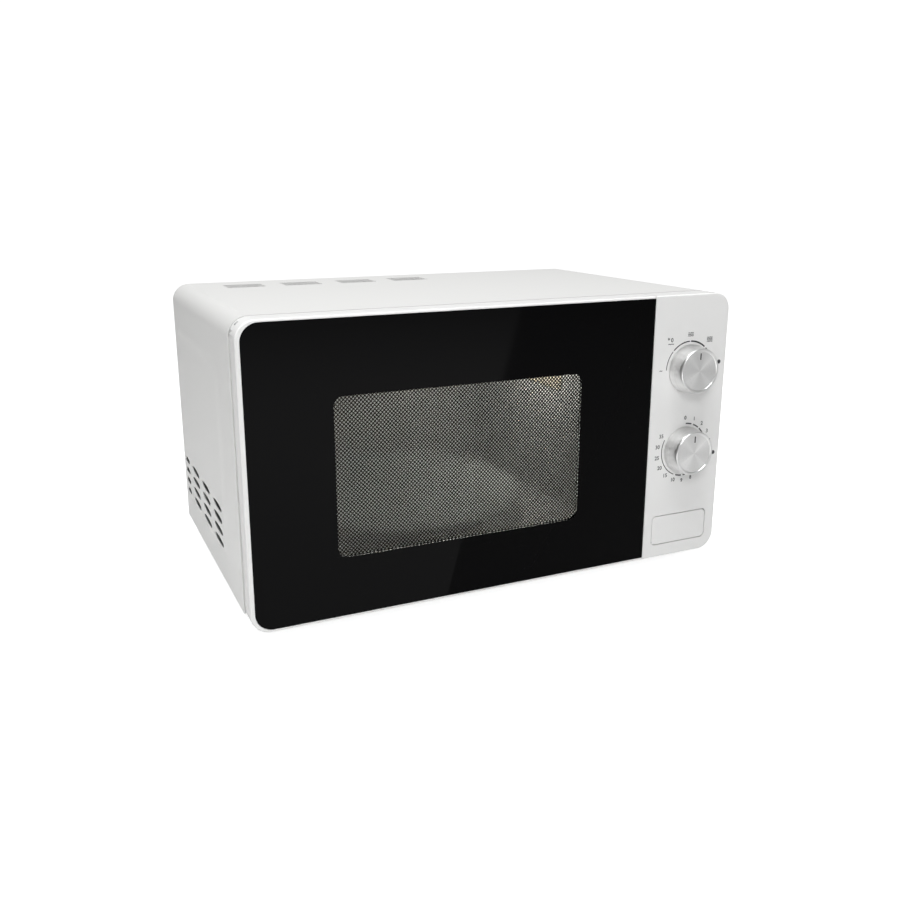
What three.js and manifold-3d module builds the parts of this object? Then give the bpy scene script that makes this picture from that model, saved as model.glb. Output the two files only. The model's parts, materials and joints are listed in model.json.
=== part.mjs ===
// A countertop microwave oven with two dials and a push-button door release.
//
// Everything is drawn in millimetres from the lower left corner of the front face: x to the right,
// y back from the glass, z up. The finished group stands on z = 0 with its box centred on x and y.

import * as THREE from 'three';
import { mergeVertices } from 'three/addons/utils/BufferGeometryUtils.js';
import Module from 'manifold-3d';

const wasm = await Module();
wasm.setup();

// ---- Driving dimensions ----

const WIDTH = 452;
const FACE_HEIGHT = 247.5;
const CABINET_DEPTH = 284;
const FACE_LIFT = 14.5;
const FACE_RADIUS = 16;
const REAR_BULGE = 21.5;

const SHEET = 0.8;
const WALL = 2.5;
const GAP = 0.3;

const PANEL_WIDTH = 82;
const PANEL_GAP = 0.7;
const DOOR_THICKNESS = 22;
const SEAM = 2;
const SQUARE_EDGE = 1;

const GLASS_THICKNESS = 3;
const GLASS_LIP = 3.8;
const GLASS_LIP_BELOW = 2.3;
const GLASS_RADIUS = 14.5;
const WINDOW_MARGIN = { left: 72.8, right: 73.7, below: 52.6, above: 62.5 };
const WINDOW_GROWTH = 14;

const CAVITY_MARGIN = { left: 29.5, right: 29.8, below: 28, above: 25.5 };
const CAVITY_REAR_CLEARANCE = 8.2;
const CAVITY_RADIUS = 4;

const CABINET_UNDERSIDE = 8.5;
const BOTTOM_FLANGE = 10;
const SIDE_PRESS = { height: 2.5, slope: 8, front: 62, rear: 14, below: 33, above: 38.5, radius: 18 };
const LOUVRE = { length: 37, height: 6.2, pitchY: 51.5, pitchZ: 10.5, columns: 4, rows: 4 };
const LOUVRE_FIRST_Y = 81;
const LOUVRE_FIRST_Z = 46;
const TOP_VENT = { length: 37, width: 5.2, pitchX: 56.5, pitchY: 7, groups: 4, slots: 4 };
const TOP_VENT_LEFT = 43;
const TOP_VENT_FROM_REAR = 58;

const KNOB_RADIUS = 22.3;
const KNOB_FACE_RADIUS = 20.4;
const KNOB_OUT = 16.5;
const KNOB_LIFT = 0.4;
const KNOB_FROM_RIGHT = 42;
const POWER_KNOB_BELOW_TOP = 67.3;
const KNOB_PITCH = 76.8;
const SHAFT_RADIUS = 3;

const BUTTON = { width: 61, height: 27.5, above: 13, radius: 4.5, thickness: 8, clearance: 0.8 };

const HINGE_INSET = 6;
const HINGE_PIN_RADIUS = 2;
const HINGE_TAB = 2;

const HOOK = { width: 5, height: 10, reach: 44, nose: 4, fromDoorEdge: 13.3, lift: 3.5 };
const HOOK_HEIGHTS = [60, 178];

const WHEEL_RADIUS = 6.5;
const WHEEL_WIDTH = 6;
const WHEEL_CIRCLE = 100;
const WHEEL_BORE = 2.2;
const TRAY_WALL_CLEARANCE = 11;
const TRAY_THICKNESS = 4;
const TRAY_RIM = 9.5;

const FOOT_RADIUS = 13;
const FOOT_INSET_X = 46;
const FOOT_INSET_FRONT = 34;
const FOOT_INSET_REAR = 36;

const FAN_RADIUS = 42;
const FAN_BLADES = 5;
const LEVER_ARM = 15;

// ---- Sizes that follow from them ----

const doorWidth = WIDTH - PANEL_WIDTH - PANEL_GAP;
const panelLeft = WIDTH - PANEL_WIDTH;
const cabinetFront = DOOR_THICKNESS + SEAM;
const plateFront = cabinetFront + SHEET;
const plateBack = plateFront + SHEET;
const rearSheet = CABINET_DEPTH - SHEET;
const rearFace = CABINET_DEPTH + REAR_BULGE;
const inside = {
  left: SHEET + GAP,
  right: WIDTH - SHEET - GAP,
  bottom: CABINET_UNDERSIDE + SHEET + GAP,
  top: FACE_HEIGHT - SHEET - GAP,
};
const cavity = {
  left: CAVITY_MARGIN.left,
  right: doorWidth - CAVITY_MARGIN.right,
  floor: CAVITY_MARGIN.below,
  ceiling: FACE_HEIGHT - CAVITY_MARGIN.above,
  front: plateBack + GAP,
  back: rearFace - SHEET - CAVITY_REAR_CLEARANCE,
};
const cavityMidX = (cavity.left + cavity.right) / 2;
const cavityMidY = (cavity.front + cavity.back) / 2;
const bayLeft = cavity.right + SHEET + GAP;
const bayFloor = inside.bottom + SHEET + GAP;
const knobX = WIDTH - KNOB_FROM_RIGHT;
const powerKnobZ = FACE_HEIGHT - POWER_KNOB_BELOW_TOP;
const timerKnobZ = powerKnobZ - KNOB_PITCH;
const hingeX = HINGE_INSET;
const hingeY = DOOR_THICKNESS - HINGE_INSET;
const hookX = doorWidth - HOOK.fromDoorEdge;
const wheelZ = cavity.floor + GAP + WHEEL_RADIUS;
const trayUnderside = wheelZ + WHEEL_RADIUS + GAP;
const trayRadius = Math.min(cavity.right - cavity.left, cavity.back - cavity.front) / 2 - TRAY_WALL_CLEARANCE;

// ---- Solids ----

const CORNER_STEPS = 4;

// Three.js geometry, closed and facing out, as a solid that can be cut and joined.
function toSolid(geometry) {
  const bare = geometry.clone();
  bare.deleteAttribute('normal');
  bare.deleteAttribute('uv');
  const merged = mergeVertices(bare, 1e-4);
  return new wasm.Manifold(new wasm.Mesh({
    numProp: 3,
    vertProperties: merged.attributes.position.array,
    triVerts: new Uint32Array(merged.index.array),
  }));
}

function toGeometry(solid) {
  const mesh = solid.getMesh();
  const geometry = new THREE.BufferGeometry();
  geometry.setAttribute('position', new THREE.BufferAttribute(mesh.vertProperties, 3));
  geometry.setIndex(new THREE.BufferAttribute(mesh.triVerts, 1));
  geometry.computeVertexNormals();
  return geometry;
}

function union(solids) {
  return solids.reduce((sum, solid) => sum.add(solid));
}

function cut(solid, tools) {
  return tools.reduce((rest, tool) => rest.subtract(tool), solid);
}

function block(x0, x1, y0, y1, z0, z1) {
  const geometry = new THREE.BoxGeometry(x1 - x0, y1 - y0, z1 - z0);
  geometry.translate((x0 + x1) / 2, (y0 + y1) / 2, (z0 + z1) / 2);
  return toSolid(geometry);
}

// Turns the shape's own x, y and depth into the axes that a piece lies along.
const LAY = {
  x: new THREE.Matrix4().set(0, 0, 1, 0, 1, 0, 0, 0, 0, 1, 0, 0, 0, 0, 0, 1),
  y: new THREE.Matrix4().set(1, 0, 0, 0, 0, 0, -1, 0, 0, 1, 0, 0, 0, 0, 0, 1),
  z: new THREE.Matrix4(),
};

// An outline pushed along one axis, from one place to another. Along y the outline is seen from the
// front, along x from the right, along z from above. A bevel slopes both ends inward.
function slab(outline, axis, from, to, bevel = null) {
  const thickness = bevel ? bevel.depth : 0;
  const geometry = new THREE.ExtrudeGeometry(outline, {
    depth: to - from - 2 * thickness,
    curveSegments: CORNER_STEPS / 2,
    bevelEnabled: bevel !== null,
    bevelThickness: thickness,
    bevelSize: bevel ? bevel.size : 0,
    bevelOffset: bevel ? -bevel.size : 0,
    bevelSegments: 1,
  });
  geometry.translate(0, 0, thickness);
  geometry.applyMatrix4(LAY[axis]);
  const start = new THREE.Vector3();
  start[axis] = axis === 'y' ? to : from;
  geometry.translate(start.x, start.y, start.z);
  return toSolid(geometry);
}

// A rectangle with round corners, given from the lower left corner anticlockwise.
function rounded(a0, a1, b0, b1, lowLeft, lowRight = lowLeft, highRight = lowLeft, highLeft = lowLeft) {
  const shape = new THREE.Shape();
  shape.moveTo(a0 + lowLeft, b0);
  shape.lineTo(a1 - lowRight, b0);
  shape.absarc(a1 - lowRight, b0 + lowRight, lowRight, -Math.PI / 2, 0);
  shape.lineTo(a1, b1 - highRight);
  shape.absarc(a1 - highRight, b1 - highRight, highRight, 0, Math.PI / 2);
  shape.lineTo(a0 + highLeft, b1);
  shape.absarc(a0 + highLeft, b1 - highLeft, highLeft, Math.PI / 2, Math.PI);
  shape.lineTo(a0, b0 + lowLeft);
  shape.absarc(a0 + lowLeft, b0 + lowLeft, lowLeft, Math.PI, Math.PI * 1.5);
  return shape;
}

function polygon(points) {
  return new THREE.Shape(points.map(([a, b]) => new THREE.Vector2(a, b)));
}

// A profile of [radius, height] turned about the z axis, listed up the outside and down the inside.
function turned(profile, segments = 24) {
  const points = profile.map(([radius, height]) => new THREE.Vector2(radius, height));
  const geometry = new THREE.LatheGeometry(points, segments);
  geometry.rotateX(Math.PI / 2);
  return toSolid(geometry);
}

// A turned ring, whose profile closes on itself.
function turnedRing(profile, segments = 24) {
  return turned([...profile, profile[0]], segments);
}

const TURN_TO = { x: [0, 90, 0], y: [-90, 0, 0], z: [0, 0, 0] };

// A solid drawn up the z axis, laid along another axis and moved into place.
function place(solid, axis, x, y, z) {
  return solid.rotate(TURN_TO[axis]).translate([x, y, z]);
}

function rod(axis, radius, length, x, y, z, segments = 12) {
  const bar = turned([[0, 0], [radius, 0], [radius, length], [0, length]], segments);
  return place(bar, axis, x, y, z);
}

const FINISH = {
  whitePlastic: { color: 0xe9e9e7, roughness: 0.45, metalness: 0 },
  whitePaint: { color: 0xe6e6e4, roughness: 0.4, metalness: 0 },
  cavityPaint: { color: 0xb9b9b4, roughness: 0.5, metalness: 0 },
  zincSteel: { color: 0xa9adb0, roughness: 0.35, metalness: 0.9 },
  brushedSilver: { color: 0xc4c6c8, roughness: 0.25, metalness: 1 },
  blackGlass: { color: 0x0b0b0c, roughness: 0.05, metalness: 0 },
  clearGlass: { color: 0xcfd8d6, roughness: 0.05, metalness: 0 },
  blackPaint: { color: 0x141414, roughness: 0.6, metalness: 0 },
  blackPlastic: { color: 0x1b1b1c, roughness: 0.5, metalness: 0 },
  greyPlastic: { color: 0x8d9093, roughness: 0.5, metalness: 0 },
  naturalPlastic: { color: 0xd8d4c8, roughness: 0.5, metalness: 0 },
  mica: { color: 0xb8ac8c, roughness: 0.6, metalness: 0 },
  coreSteel: { color: 0x4b4e52, roughness: 0.5, metalness: 0.8 },
  copper: { color: 0xb3622f, roughness: 0.35, metalness: 0.9 },
  aluminium: { color: 0xc9cbcd, roughness: 0.3, metalness: 0.9 },
  rubber: { color: 0x191919, roughness: 0.85, metalness: 0 },
  circuitBoard: { color: 0xa88a4a, roughness: 0.6, metalness: 0 },
};

function piece(name, solid, finish) {
  const mesh = new THREE.Mesh(toGeometry(solid), new THREE.MeshStandardMaterial(finish));
  mesh.name = name;
  return mesh;
}

function assembly(pieces) {
  const group = new THREE.Group();
  group.add(...pieces);
  return group;
}

// ---- Cabinet ----

// The outline that fits inside the cabinet wrap, drawn in by a distance from its outer skin.
function cabinetOutline(inset, bottom) {
  const radius = FACE_RADIUS - inset;
  return rounded(inset, WIDTH - inset, bottom, FACE_HEIGHT - inset, 0.5, 0.5, radius, radius);
}

// The raised field pressed outward in a cabinet side. It is drawn deeper than it shows.
function sidePress(x) {
  const outline = rounded(SIDE_PRESS.front, CABINET_DEPTH - SIDE_PRESS.rear,
    SIDE_PRESS.below, FACE_HEIGHT - SIDE_PRESS.above, SIDE_PRESS.radius);
  const depth = SIDE_PRESS.height;
  const extra = 2 * SHEET;
  const [from, to] = x < WIDTH / 2 ? [x - depth, x + depth + extra] : [x - depth - extra, x + depth];
  return slab(outline, 'x', from, to, { depth, size: SIDE_PRESS.slope });
}

// Leaf-shaped slots through both sides, in columns and rows.
function louvres() {
  const half = LOUVRE.height / 2;
  const shoulder = LOUVRE.length / 4;
  const leaf = polygon([[0, 0], [shoulder, -half], [LOUVRE.length - shoulder, -half], [LOUVRE.length, 0],
    [LOUVRE.length - shoulder, half], [shoulder, half]]);
  const through = slab(leaf, 'x', -2 * BOTTOM_FLANGE, WIDTH + 2 * BOTTOM_FLANGE);
  const slots = [];
  for (let column = 0; column < LOUVRE.columns; column += 1) {
    for (let row = 0; row < LOUVRE.rows; row += 1) {
      const y = LOUVRE_FIRST_Y + column * LOUVRE.pitchY;
      slots.push(through.translate([0, y, LOUVRE_FIRST_Z + row * LOUVRE.pitchZ]));
    }
  }
  return slots;
}

function topVents() {
  const slots = [];
  for (let group = 0; group < TOP_VENT.groups; group += 1) {
    for (let slot = 0; slot < TOP_VENT.slots; slot += 1) {
      const x = TOP_VENT_LEFT + group * TOP_VENT.pitchX;
      const y = CABINET_DEPTH - TOP_VENT_FROM_REAR + slot * TOP_VENT.pitchY;
      slots.push(block(x, x + TOP_VENT.length, y, y + TOP_VENT.width, FACE_HEIGHT - 9, FACE_HEIGHT + 9));
    }
  }
  return slots;
}

function cabinetWrap() {
  const outside = union([
    slab(cabinetOutline(0, CABINET_UNDERSIDE), 'y', cabinetFront, CABINET_DEPTH),
    sidePress(0),
    sidePress(WIDTH),
  ]);
  const hollow = union([
    slab(cabinetOutline(SHEET, CABINET_UNDERSIDE + SHEET), 'y', cabinetFront - 1, CABINET_DEPTH + 1),
    sidePress(SHEET),
    sidePress(WIDTH - SHEET),
  ]);
  const underside = block(BOTTOM_FLANGE, WIDTH - BOTTOM_FLANGE, 0, CABINET_DEPTH + 1, 0, inside.bottom);
  const shell = cut(outside, [hollow, underside, ...louvres(), ...topVents()]);
  return piece('cabinet_wrap', shell, FINISH.whitePaint);
}

const footPlaces = [
  ['foot_front_left', FOOT_INSET_X, cabinetFront + FOOT_INSET_FRONT],
  ['foot_front_right', WIDTH - FOOT_INSET_X, cabinetFront + FOOT_INSET_FRONT],
  ['foot_rear_left', FOOT_INSET_X, CABINET_DEPTH - FOOT_INSET_REAR],
  ['foot_rear_right', WIDTH - FOOT_INSET_X, CABINET_DEPTH - FOOT_INSET_REAR],
];
const FOOT_PEG_RADIUS = 3.5;

function basePlate() {
  const flange = 9;
  const z = inside.bottom;
  const back = rearSheet - GAP;
  const tray = block(inside.left, inside.right, cavity.front, back, z, z + flange);
  const well = block(inside.left + SHEET, inside.right - SHEET, cavity.front - 1, back - SHEET, z + SHEET, 99);
  const holes = footPlaces.map(([, x, y]) => rod('z', FOOT_PEG_RADIUS + GAP, 9, x, y, z - 4));
  const slots = [];
  for (let count = 0; count < 6; count += 1) {
    const y = cavityMidY + 34 + count * 10;
    slots.push(block(cavity.right - 60, cavity.right - 10, y, y + 4, z - 1, z + 3));
  }
  return piece('base_plate', cut(tray, [well, ...holes, ...slots]), FINISH.zincSteel);
}

function foot(name, x, y) {
  const top = inside.bottom - GAP;
  const pegTop = bayFloor + 1.5;
  const profile = [
    [0, -FACE_LIFT], [FOOT_RADIUS - 3, -FACE_LIFT], [FOOT_RADIUS - 2, -FACE_LIFT + 1.5],
    [FOOT_RADIUS, top - 2], [FOOT_RADIUS, top], [FOOT_PEG_RADIUS, top],
    [FOOT_PEG_RADIUS, pegTop], [0, pegTop],
  ];
  const mesh = piece(name, turned(profile, 16), FINISH.rubber);
  mesh.position.set(x, y, 0);
  return mesh;
}

const GROMMET = { bore: 3.4, neck: 6.2, flange: 9.5, fromRight: 34, height: 38 };
const FAN_FROM_RIGHT = 55;
const FAN_BELOW_TOP = 98;
const fanX = WIDTH - FAN_FROM_RIGHT;
const fanZ = FACE_HEIGHT - FAN_BELOW_TOP;

// The back sheet, with a deep pressing that makes room for the cooking cavity.
function rearPanel() {
  const sheet = slab(rearOutline(), 'y', rearSheet, CABINET_DEPTH);
  const margin = 9;
  const bulge = (inset) => slab(
    rounded(cavity.left - margin + inset, cavity.right + margin - inset,
      cavity.floor - margin + inset, cavity.ceiling + margin - inset, 16),
    'y', rearSheet - 12, rearFace - inset, { depth: 6, size: 6 });
  const behindSheet = block(-1, WIDTH + 1, rearSheet, rearFace + 1, -1, FACE_HEIGHT + 1);
  const shell = sheet.add(bulge(0).intersect(behindSheet)).subtract(bulge(SHEET));
  const grille = [];
  for (let row = -4; row <= 4; row += 1) {
    const half = Math.sqrt((FAN_RADIUS - 4) ** 2 - (row * 8) ** 2);
    grille.push(block(fanX - half, fanX + half, rearSheet - 1, CABINET_DEPTH + 1,
      fanZ + row * 8 - 1.8, fanZ + row * 8 + 1.8));
  }
  const cordHole = rod('y', GROMMET.neck + GAP, 6, WIDTH - GROMMET.fromRight, rearSheet - 3, GROMMET.height);
  return piece('rear_panel', cut(shell, [...grille, cordHole]), FINISH.zincSteel);
}

function rearOutline() {
  const radius = FACE_RADIUS - SHEET - GAP;
  return rounded(inside.left, inside.right, inside.bottom, inside.top, 0.5, 0.5, radius, radius);
}

function cordGrommet() {
  const inner = -GAP - 4;
  const outer = SHEET + GAP + 4;
  const profile = [
    [GROMMET.bore, inner], [GROMMET.flange - 1, inner], [GROMMET.flange - 1, -GAP], [GROMMET.neck, -GAP],
    [GROMMET.neck, SHEET + GAP], [GROMMET.flange, SHEET + GAP], [GROMMET.flange, outer - 1.5],
    [GROMMET.flange - 2, outer], [GROMMET.bore, outer],
  ];
  const mesh = piece('cord_grommet', turnedRing(profile, 16).rotate(TURN_TO.y), FINISH.rubber);
  mesh.position.set(WIDTH - GROMMET.fromRight, rearSheet, GROMMET.height);
  return mesh;
}

function cavityOutline(growth) {
  return rounded(cavity.left - growth, cavity.right + growth, cavity.floor - growth,
    cavity.ceiling + growth, Math.max(CAVITY_RADIUS + growth, 1));
}

// The upright sheet behind the door and the control panel, open at the cavity and behind the dials.
function frontFrame() {
  const sheet = slab(rearOutline(), 'y', plateFront, plateBack);
  const mouth = slab(cavityOutline(0), 'y', plateFront - 1, plateBack + 1);
  const dialWindow = block(panelLeft + 9, WIDTH - 9, plateFront - 1, plateBack + 1, inside.bottom + 12,
    FACE_HEIGHT - 20);
  const hookSlots = HOOK_HEIGHTS.map((z) => block(hookX - HOOK.width / 2 - 2.5, hookX + HOOK.width / 2 + 3.5,
    plateFront - 1, plateBack + 1, z - HOOK.nose - 2, z + HOOK.height + HOOK.lift + 2));
  return piece('front_frame', cut(sheet, [mouth, dialWindow, ...hookSlots]), FINISH.whitePaint);
}

function cabinet() {
  return assembly([
    cabinetWrap(),
    basePlate(),
    rearPanel(),
    cordGrommet(),
    frontFrame(),
    ...footPlaces.map(([name, x, y]) => foot(name, x, y)),
  ]);
}

// ---- Cooking cavity, waveguide and lamp ----

const WAVEGUIDE = { depth: 36, length: 80, height: 70, frontY: 100, belowTop: 36 };
const waveguideTop = FACE_HEIGHT - WAVEGUIDE.belowTop;
const waveguideMidY = WAVEGUIDE.frontY + WAVEGUIDE.length / 2;
const waveguideMidZ = waveguideTop - WAVEGUIDE.height / 2;
const PORT = { length: 60, height: 50 };
const COUPLING_HOLE = 5.5;
const LAMP = { x: 15, fromPort: 88, belowTop: 56, bulbRadius: 8, length: 25 };
const lampX = bayLeft + LAMP.x;
const lampY = WAVEGUIDE.frontY + LAMP.fromPort;
const lampZ = FACE_HEIGHT - LAMP.belowTop;

function cavityBody() {
  const shell = cut(slab(cavityOutline(SHEET), 'y', cavity.front, cavity.back + SHEET), [
    slab(cavityOutline(0), 'y', cavity.front - 1, cavity.back),
    rod('z', COUPLING_HOLE, 9, cavityMidX, cavityMidY, cavity.floor - 5),
    block(cavity.right - 2, cavity.right + 2 + SHEET, waveguideMidY - PORT.length / 2,
      waveguideMidY + PORT.length / 2, waveguideMidZ - PORT.height / 2, waveguideMidZ + PORT.height / 2),
    ...lampHoles(),
  ]);
  return piece('cavity_body', shell, FINISH.cavityPaint);
}

// A ring of small light holes beside the lamp, with one in the middle.
function lampHoles() {
  const holes = [rod('x', 1.6, 6, cavity.right - 2, lampY + 12, lampZ, 8)];
  for (let count = 0; count < 6; count += 1) {
    const angle = count * Math.PI / 3;
    holes.push(rod('x', 1.6, 6, cavity.right - 2, lampY + 12 + 6 * Math.cos(angle), lampZ + 6 * Math.sin(angle), 8));
  }
  return holes;
}

function waveguideCover() {
  const lap = 6;
  const outline = rounded(waveguideMidY - PORT.length / 2 - lap, waveguideMidY + PORT.length / 2 + lap,
    waveguideMidZ - PORT.height / 2 - lap, waveguideMidZ + PORT.height / 2 + lap, 3);
  const right = cavity.right - GAP;
  return piece('waveguide_cover', slab(outline, 'x', right - 0.8, right), FINISH.mica);
}

const magnetronX = bayLeft + WAVEGUIDE.depth + GAP;
const MAGNETRON = { depth: 52, length: 76, height: 80, finCount: 4, yoke: 1.6, anode: 20, antenna: 8 };

function waveguide() {
  const y0 = WAVEGUIDE.frontY;
  const y1 = y0 + WAVEGUIDE.length;
  const z1 = waveguideTop;
  const z0 = z1 - WAVEGUIDE.height;
  const right = bayLeft + WAVEGUIDE.depth;
  const duct = cut(block(bayLeft, right, y0, y1, z0, z1), [
    block(bayLeft - 1, right - SHEET, y0 + SHEET, y1 - SHEET, z0 + SHEET, z1 - SHEET),
    rod('x', MAGNETRON.antenna + 4, 6, right - 3, waveguideMidY, waveguideMidZ),
  ]);
  return piece('waveguide', duct, FINISH.zincSteel);
}

// A steel yoke open front to back, holding the anode and its cooling fins.
function magnetronBody() {
  const x0 = magnetronX;
  const x1 = x0 + MAGNETRON.depth;
  const y0 = waveguideMidY - MAGNETRON.length / 2;
  const y1 = y0 + MAGNETRON.length;
  const z0 = waveguideMidZ - MAGNETRON.height / 2;
  const z1 = z0 + MAGNETRON.height;
  const t = MAGNETRON.yoke;
  const yoke = block(x0, x1, y0, y1, z0, z1).subtract(block(x0 + t, x1 - t, y0 - 1, y1 + 1, z0 + t, z1 - t));
  const fins = [];
  for (let count = 1; count <= MAGNETRON.finCount; count += 1) {
    const x = x0 + count * MAGNETRON.depth / (MAGNETRON.finCount + 1);
    fins.push(block(x - 0.5, x + 0.5, y0 + 6, y1 - 6, z0 + t / 2, z1 - t / 2));
  }
  const anode = rod('x', MAGNETRON.anode, MAGNETRON.depth - t, x0 + t / 2, waveguideMidY, waveguideMidZ);
  return piece('magnetron_body', union([yoke, anode, ...fins]), FINISH.zincSteel);
}

function magnetronAntenna() {
  const r = MAGNETRON.antenna;
  const profile = [[0, 0], [r - 2, 0], [r - 1, 2], [r - 1, 14], [r, 14], [r, 24], [0, 24]];
  const mesh = piece('magnetron_antenna', turned(profile, 16).rotate(TURN_TO.x), FINISH.copper);
  mesh.position.set(magnetronX - GAP - 24, waveguideMidY, waveguideMidZ);
  return mesh;
}

function magnetronFilterBox() {
  const x0 = magnetronX + MAGNETRON.depth + GAP;
  const box = block(x0, x0 + 15, waveguideMidY - 28, waveguideMidY + 28, waveguideMidZ - 30, waveguideMidZ + 30);
  const tabs = block(x0 + 5, x0 + 10, waveguideMidY - 12, waveguideMidY + 12, waveguideMidZ - 40, waveguideMidZ - 29);
  return piece('magnetron_filter_box', box.add(tabs), FINISH.aluminium);
}

function lampHolder() {
  const socket = rod('y', LAMP.bulbRadius + 3, 12, lampX, lampY + LAMP.length + GAP, lampZ);
  const bracket = block(bayLeft, bayLeft + SHEET, lampY + LAMP.length + GAP - 4, lampY + LAMP.length + 20,
    lampZ - 9, lampZ + 9);
  const arm = block(bayLeft, lampX, lampY + LAMP.length + 4, lampY + LAMP.length + 9, lampZ - 5, lampZ + 5);
  return piece('lamp_holder', union([socket, bracket, arm]), FINISH.naturalPlastic);
}

function ovenLamp() {
  const r = LAMP.bulbRadius;
  const profile = [[0, 0], [r * 0.7, 2], [r, 7], [r, 13], [r * 0.7, 19], [r * 0.6, LAMP.length], [0, LAMP.length]];
  const mesh = piece('oven_lamp', turned(profile, 16).rotate(TURN_TO.y), FINISH.clearGlass);
  mesh.position.set(lampX, lampY, lampZ);
  return mesh;
}

function thermalCutout() {
  const profile = [[0, 0], [11, 0], [11, 1], [7, 1], [7, 9], [0, 9]];
  const mesh = piece('thermal_cutout', turned(profile, 16), FINISH.blackPlastic);
  mesh.position.set(cavity.right - 40, cavityMidY - 20, cavity.ceiling + SHEET + GAP);
  return mesh;
}

function microwaveSource() {
  return assembly([
    cavityBody(),
    waveguideCover(),
    waveguide(),
    magnetronBody(),
    magnetronAntenna(),
    magnetronFilterBox(),
    lampHolder(),
    ovenLamp(),
    thermalCutout(),
  ]);
}

// ---- Power supply ----

const CORE = { width: 84, stack: 48, height: 70, leg: 28, window: 16, yoke: 13 };
const CAPACITOR = { width: 52, depth: 32, height: 84 };
const bayMidX = (bayLeft + inside.right - SHEET) / 2;

function transformerCore() {
  const y0 = waveguideMidY - CORE.stack / 2;
  const x0 = bayMidX - CORE.width / 2;
  const windows = [-1, 1].map((side) => {
    const middle = bayMidX + side * (CORE.leg + CORE.window) / 2;
    return block(middle - CORE.window / 2, middle + CORE.window / 2, y0 - 1, y0 + CORE.stack + 1,
      bayFloor + CORE.yoke, bayFloor + CORE.height - CORE.yoke);
  });
  const core = block(x0, x0 + CORE.width, y0, y0 + CORE.stack, bayFloor, bayFloor + CORE.height);
  return piece('transformer_core', cut(core, windows), FINISH.coreSteel);
}

// A winding around the middle leg, wide enough to stand out of the core front and back.
function coil(name, from, to, finish) {
  const growth = CORE.window - 2 * GAP;
  const halfX = CORE.leg / 2 + GAP;
  const halfY = CORE.stack / 2 + GAP;
  const outline = rounded(bayMidX - halfX - growth, bayMidX + halfX + growth, waveguideMidY - halfY - growth,
    waveguideMidY + halfY + growth, 8);
  const winding = slab(outline, 'z', from, to);
  const leg = block(bayMidX - halfX, bayMidX + halfX, waveguideMidY - halfY, waveguideMidY + halfY, from - 1, to + 1);
  return piece(name, winding.subtract(leg), finish);
}

const capacitorX = bayLeft + 8;
const capacitorY = rearSheet - 78;

function capacitorOutline(growth) {
  const halfDepth = CAPACITOR.depth / 2 + growth;
  const width = CAPACITOR.width + 2 * growth;
  return rounded(capacitorX - growth, capacitorX - growth + width, capacitorY - halfDepth,
    capacitorY + halfDepth, halfDepth - 1);
}

function capacitor() {
  const can = slab(capacitorOutline(0), 'z', bayFloor, bayFloor + CAPACITOR.height);
  const top = bayFloor + CAPACITOR.height;
  const tabs = [14, 36].map((x) => block(capacitorX + x, capacitorX + x + 3, capacitorY - 4, capacitorY + 4, top - 1, top + 9));
  return piece('hv_capacitor', union([can, ...tabs]), FINISH.aluminium);
}

function capacitorClamp() {
  const z0 = bayFloor + 18;
  const band = slab(capacitorOutline(GAP + SHEET), 'z', z0, z0 + 14);
  const can = slab(capacitorOutline(GAP), 'z', z0 - 1, z0 + 15);
  const right = capacitorX + CAPACITOR.width + GAP;
  const leg = block(right, right + SHEET, capacitorY - 8, capacitorY + 8, bayFloor, z0 + 14);
  const toe = block(right, right + 14, capacitorY - 8, capacitorY + 8, bayFloor, bayFloor + SHEET);
  return piece('capacitor_clamp', union([band.subtract(can), leg, toe]), FINISH.zincSteel);
}

function diode() {
  const x = capacitorX + CAPACITOR.width + 24;
  const z = bayFloor + 14;
  const body = rod('y', 3.6, 20, x, capacitorY - 10, z, 12);
  const lead = rod('y', 0.8, 44, x, capacitorY - 22, z, 8);
  const post = block(x - 3, x + 3, capacitorY - 22, capacitorY - 21, bayFloor, z + 2);
  return piece('hv_diode', union([body, lead, post]), FINISH.blackPlastic);
}

const boardZ = FACE_HEIGHT - 40;
const boardY = rearSheet - 52;

function filterBoard() {
  const board = block(bayMidX - 42, bayMidX + 42, boardY, boardY + 44, boardZ, boardZ + 1.6);
  const holder = [-36, 0, 32].map((x) => block(bayMidX + x, bayMidX + x + 4, boardY + 43, boardY + 52 - GAP,
    boardZ + 0.4, boardZ + 8));
  return piece('filter_board', union([board, ...holder]), FINISH.circuitBoard);
}

function filterChoke() {
  const profile = [[5, 0], [14, 0], [14, 10], [5, 10]];
  const mesh = piece('filter_choke', turnedRing(profile, 20), FINISH.copper);
  mesh.position.set(bayMidX - 20, boardY + 20, boardZ + 1.6 + GAP);
  return mesh;
}

function fuse() {
  const profile = [[0, 0], [3, 0], [3, 5], [2.5, 5], [2.5, 17], [3, 17], [3, 22], [0, 22]];
  const mesh = piece('fuse', turned(profile, 12).rotate(TURN_TO.x), FINISH.clearGlass);
  mesh.position.set(bayMidX + 8, boardY + 12, boardZ + 1.6 + GAP + 3);
  return mesh;
}

function powerSupply() {
  const coilLow = bayFloor + CORE.yoke + GAP;
  const coilHigh = bayFloor + CORE.height - CORE.yoke - GAP;
  const split = coilLow + 0.45 * (coilHigh - coilLow);
  return assembly([
    transformerCore(),
    coil('primary_coil', coilLow, split, FINISH.copper),
    coil('secondary_coil', split + GAP, coilHigh, FINISH.copper),
    capacitor(),
    capacitorClamp(),
    diode(),
    filterBoard(),
    filterChoke(),
    fuse(),
  ]);
}

// ---- Cooling fan ----

const FAN = { shroudHalf: 48, duct: 22, hub: 11, bladeDepth: 12, shaft: 2.2, motorGap: 9, motorDepth: 20 };
const fanPlateY = rearSheet - GAP - 2;
const fanRotorY = fanPlateY - 5 - FAN.bladeDepth;
const fanMotorBack = fanRotorY - FAN.motorGap;

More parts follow.
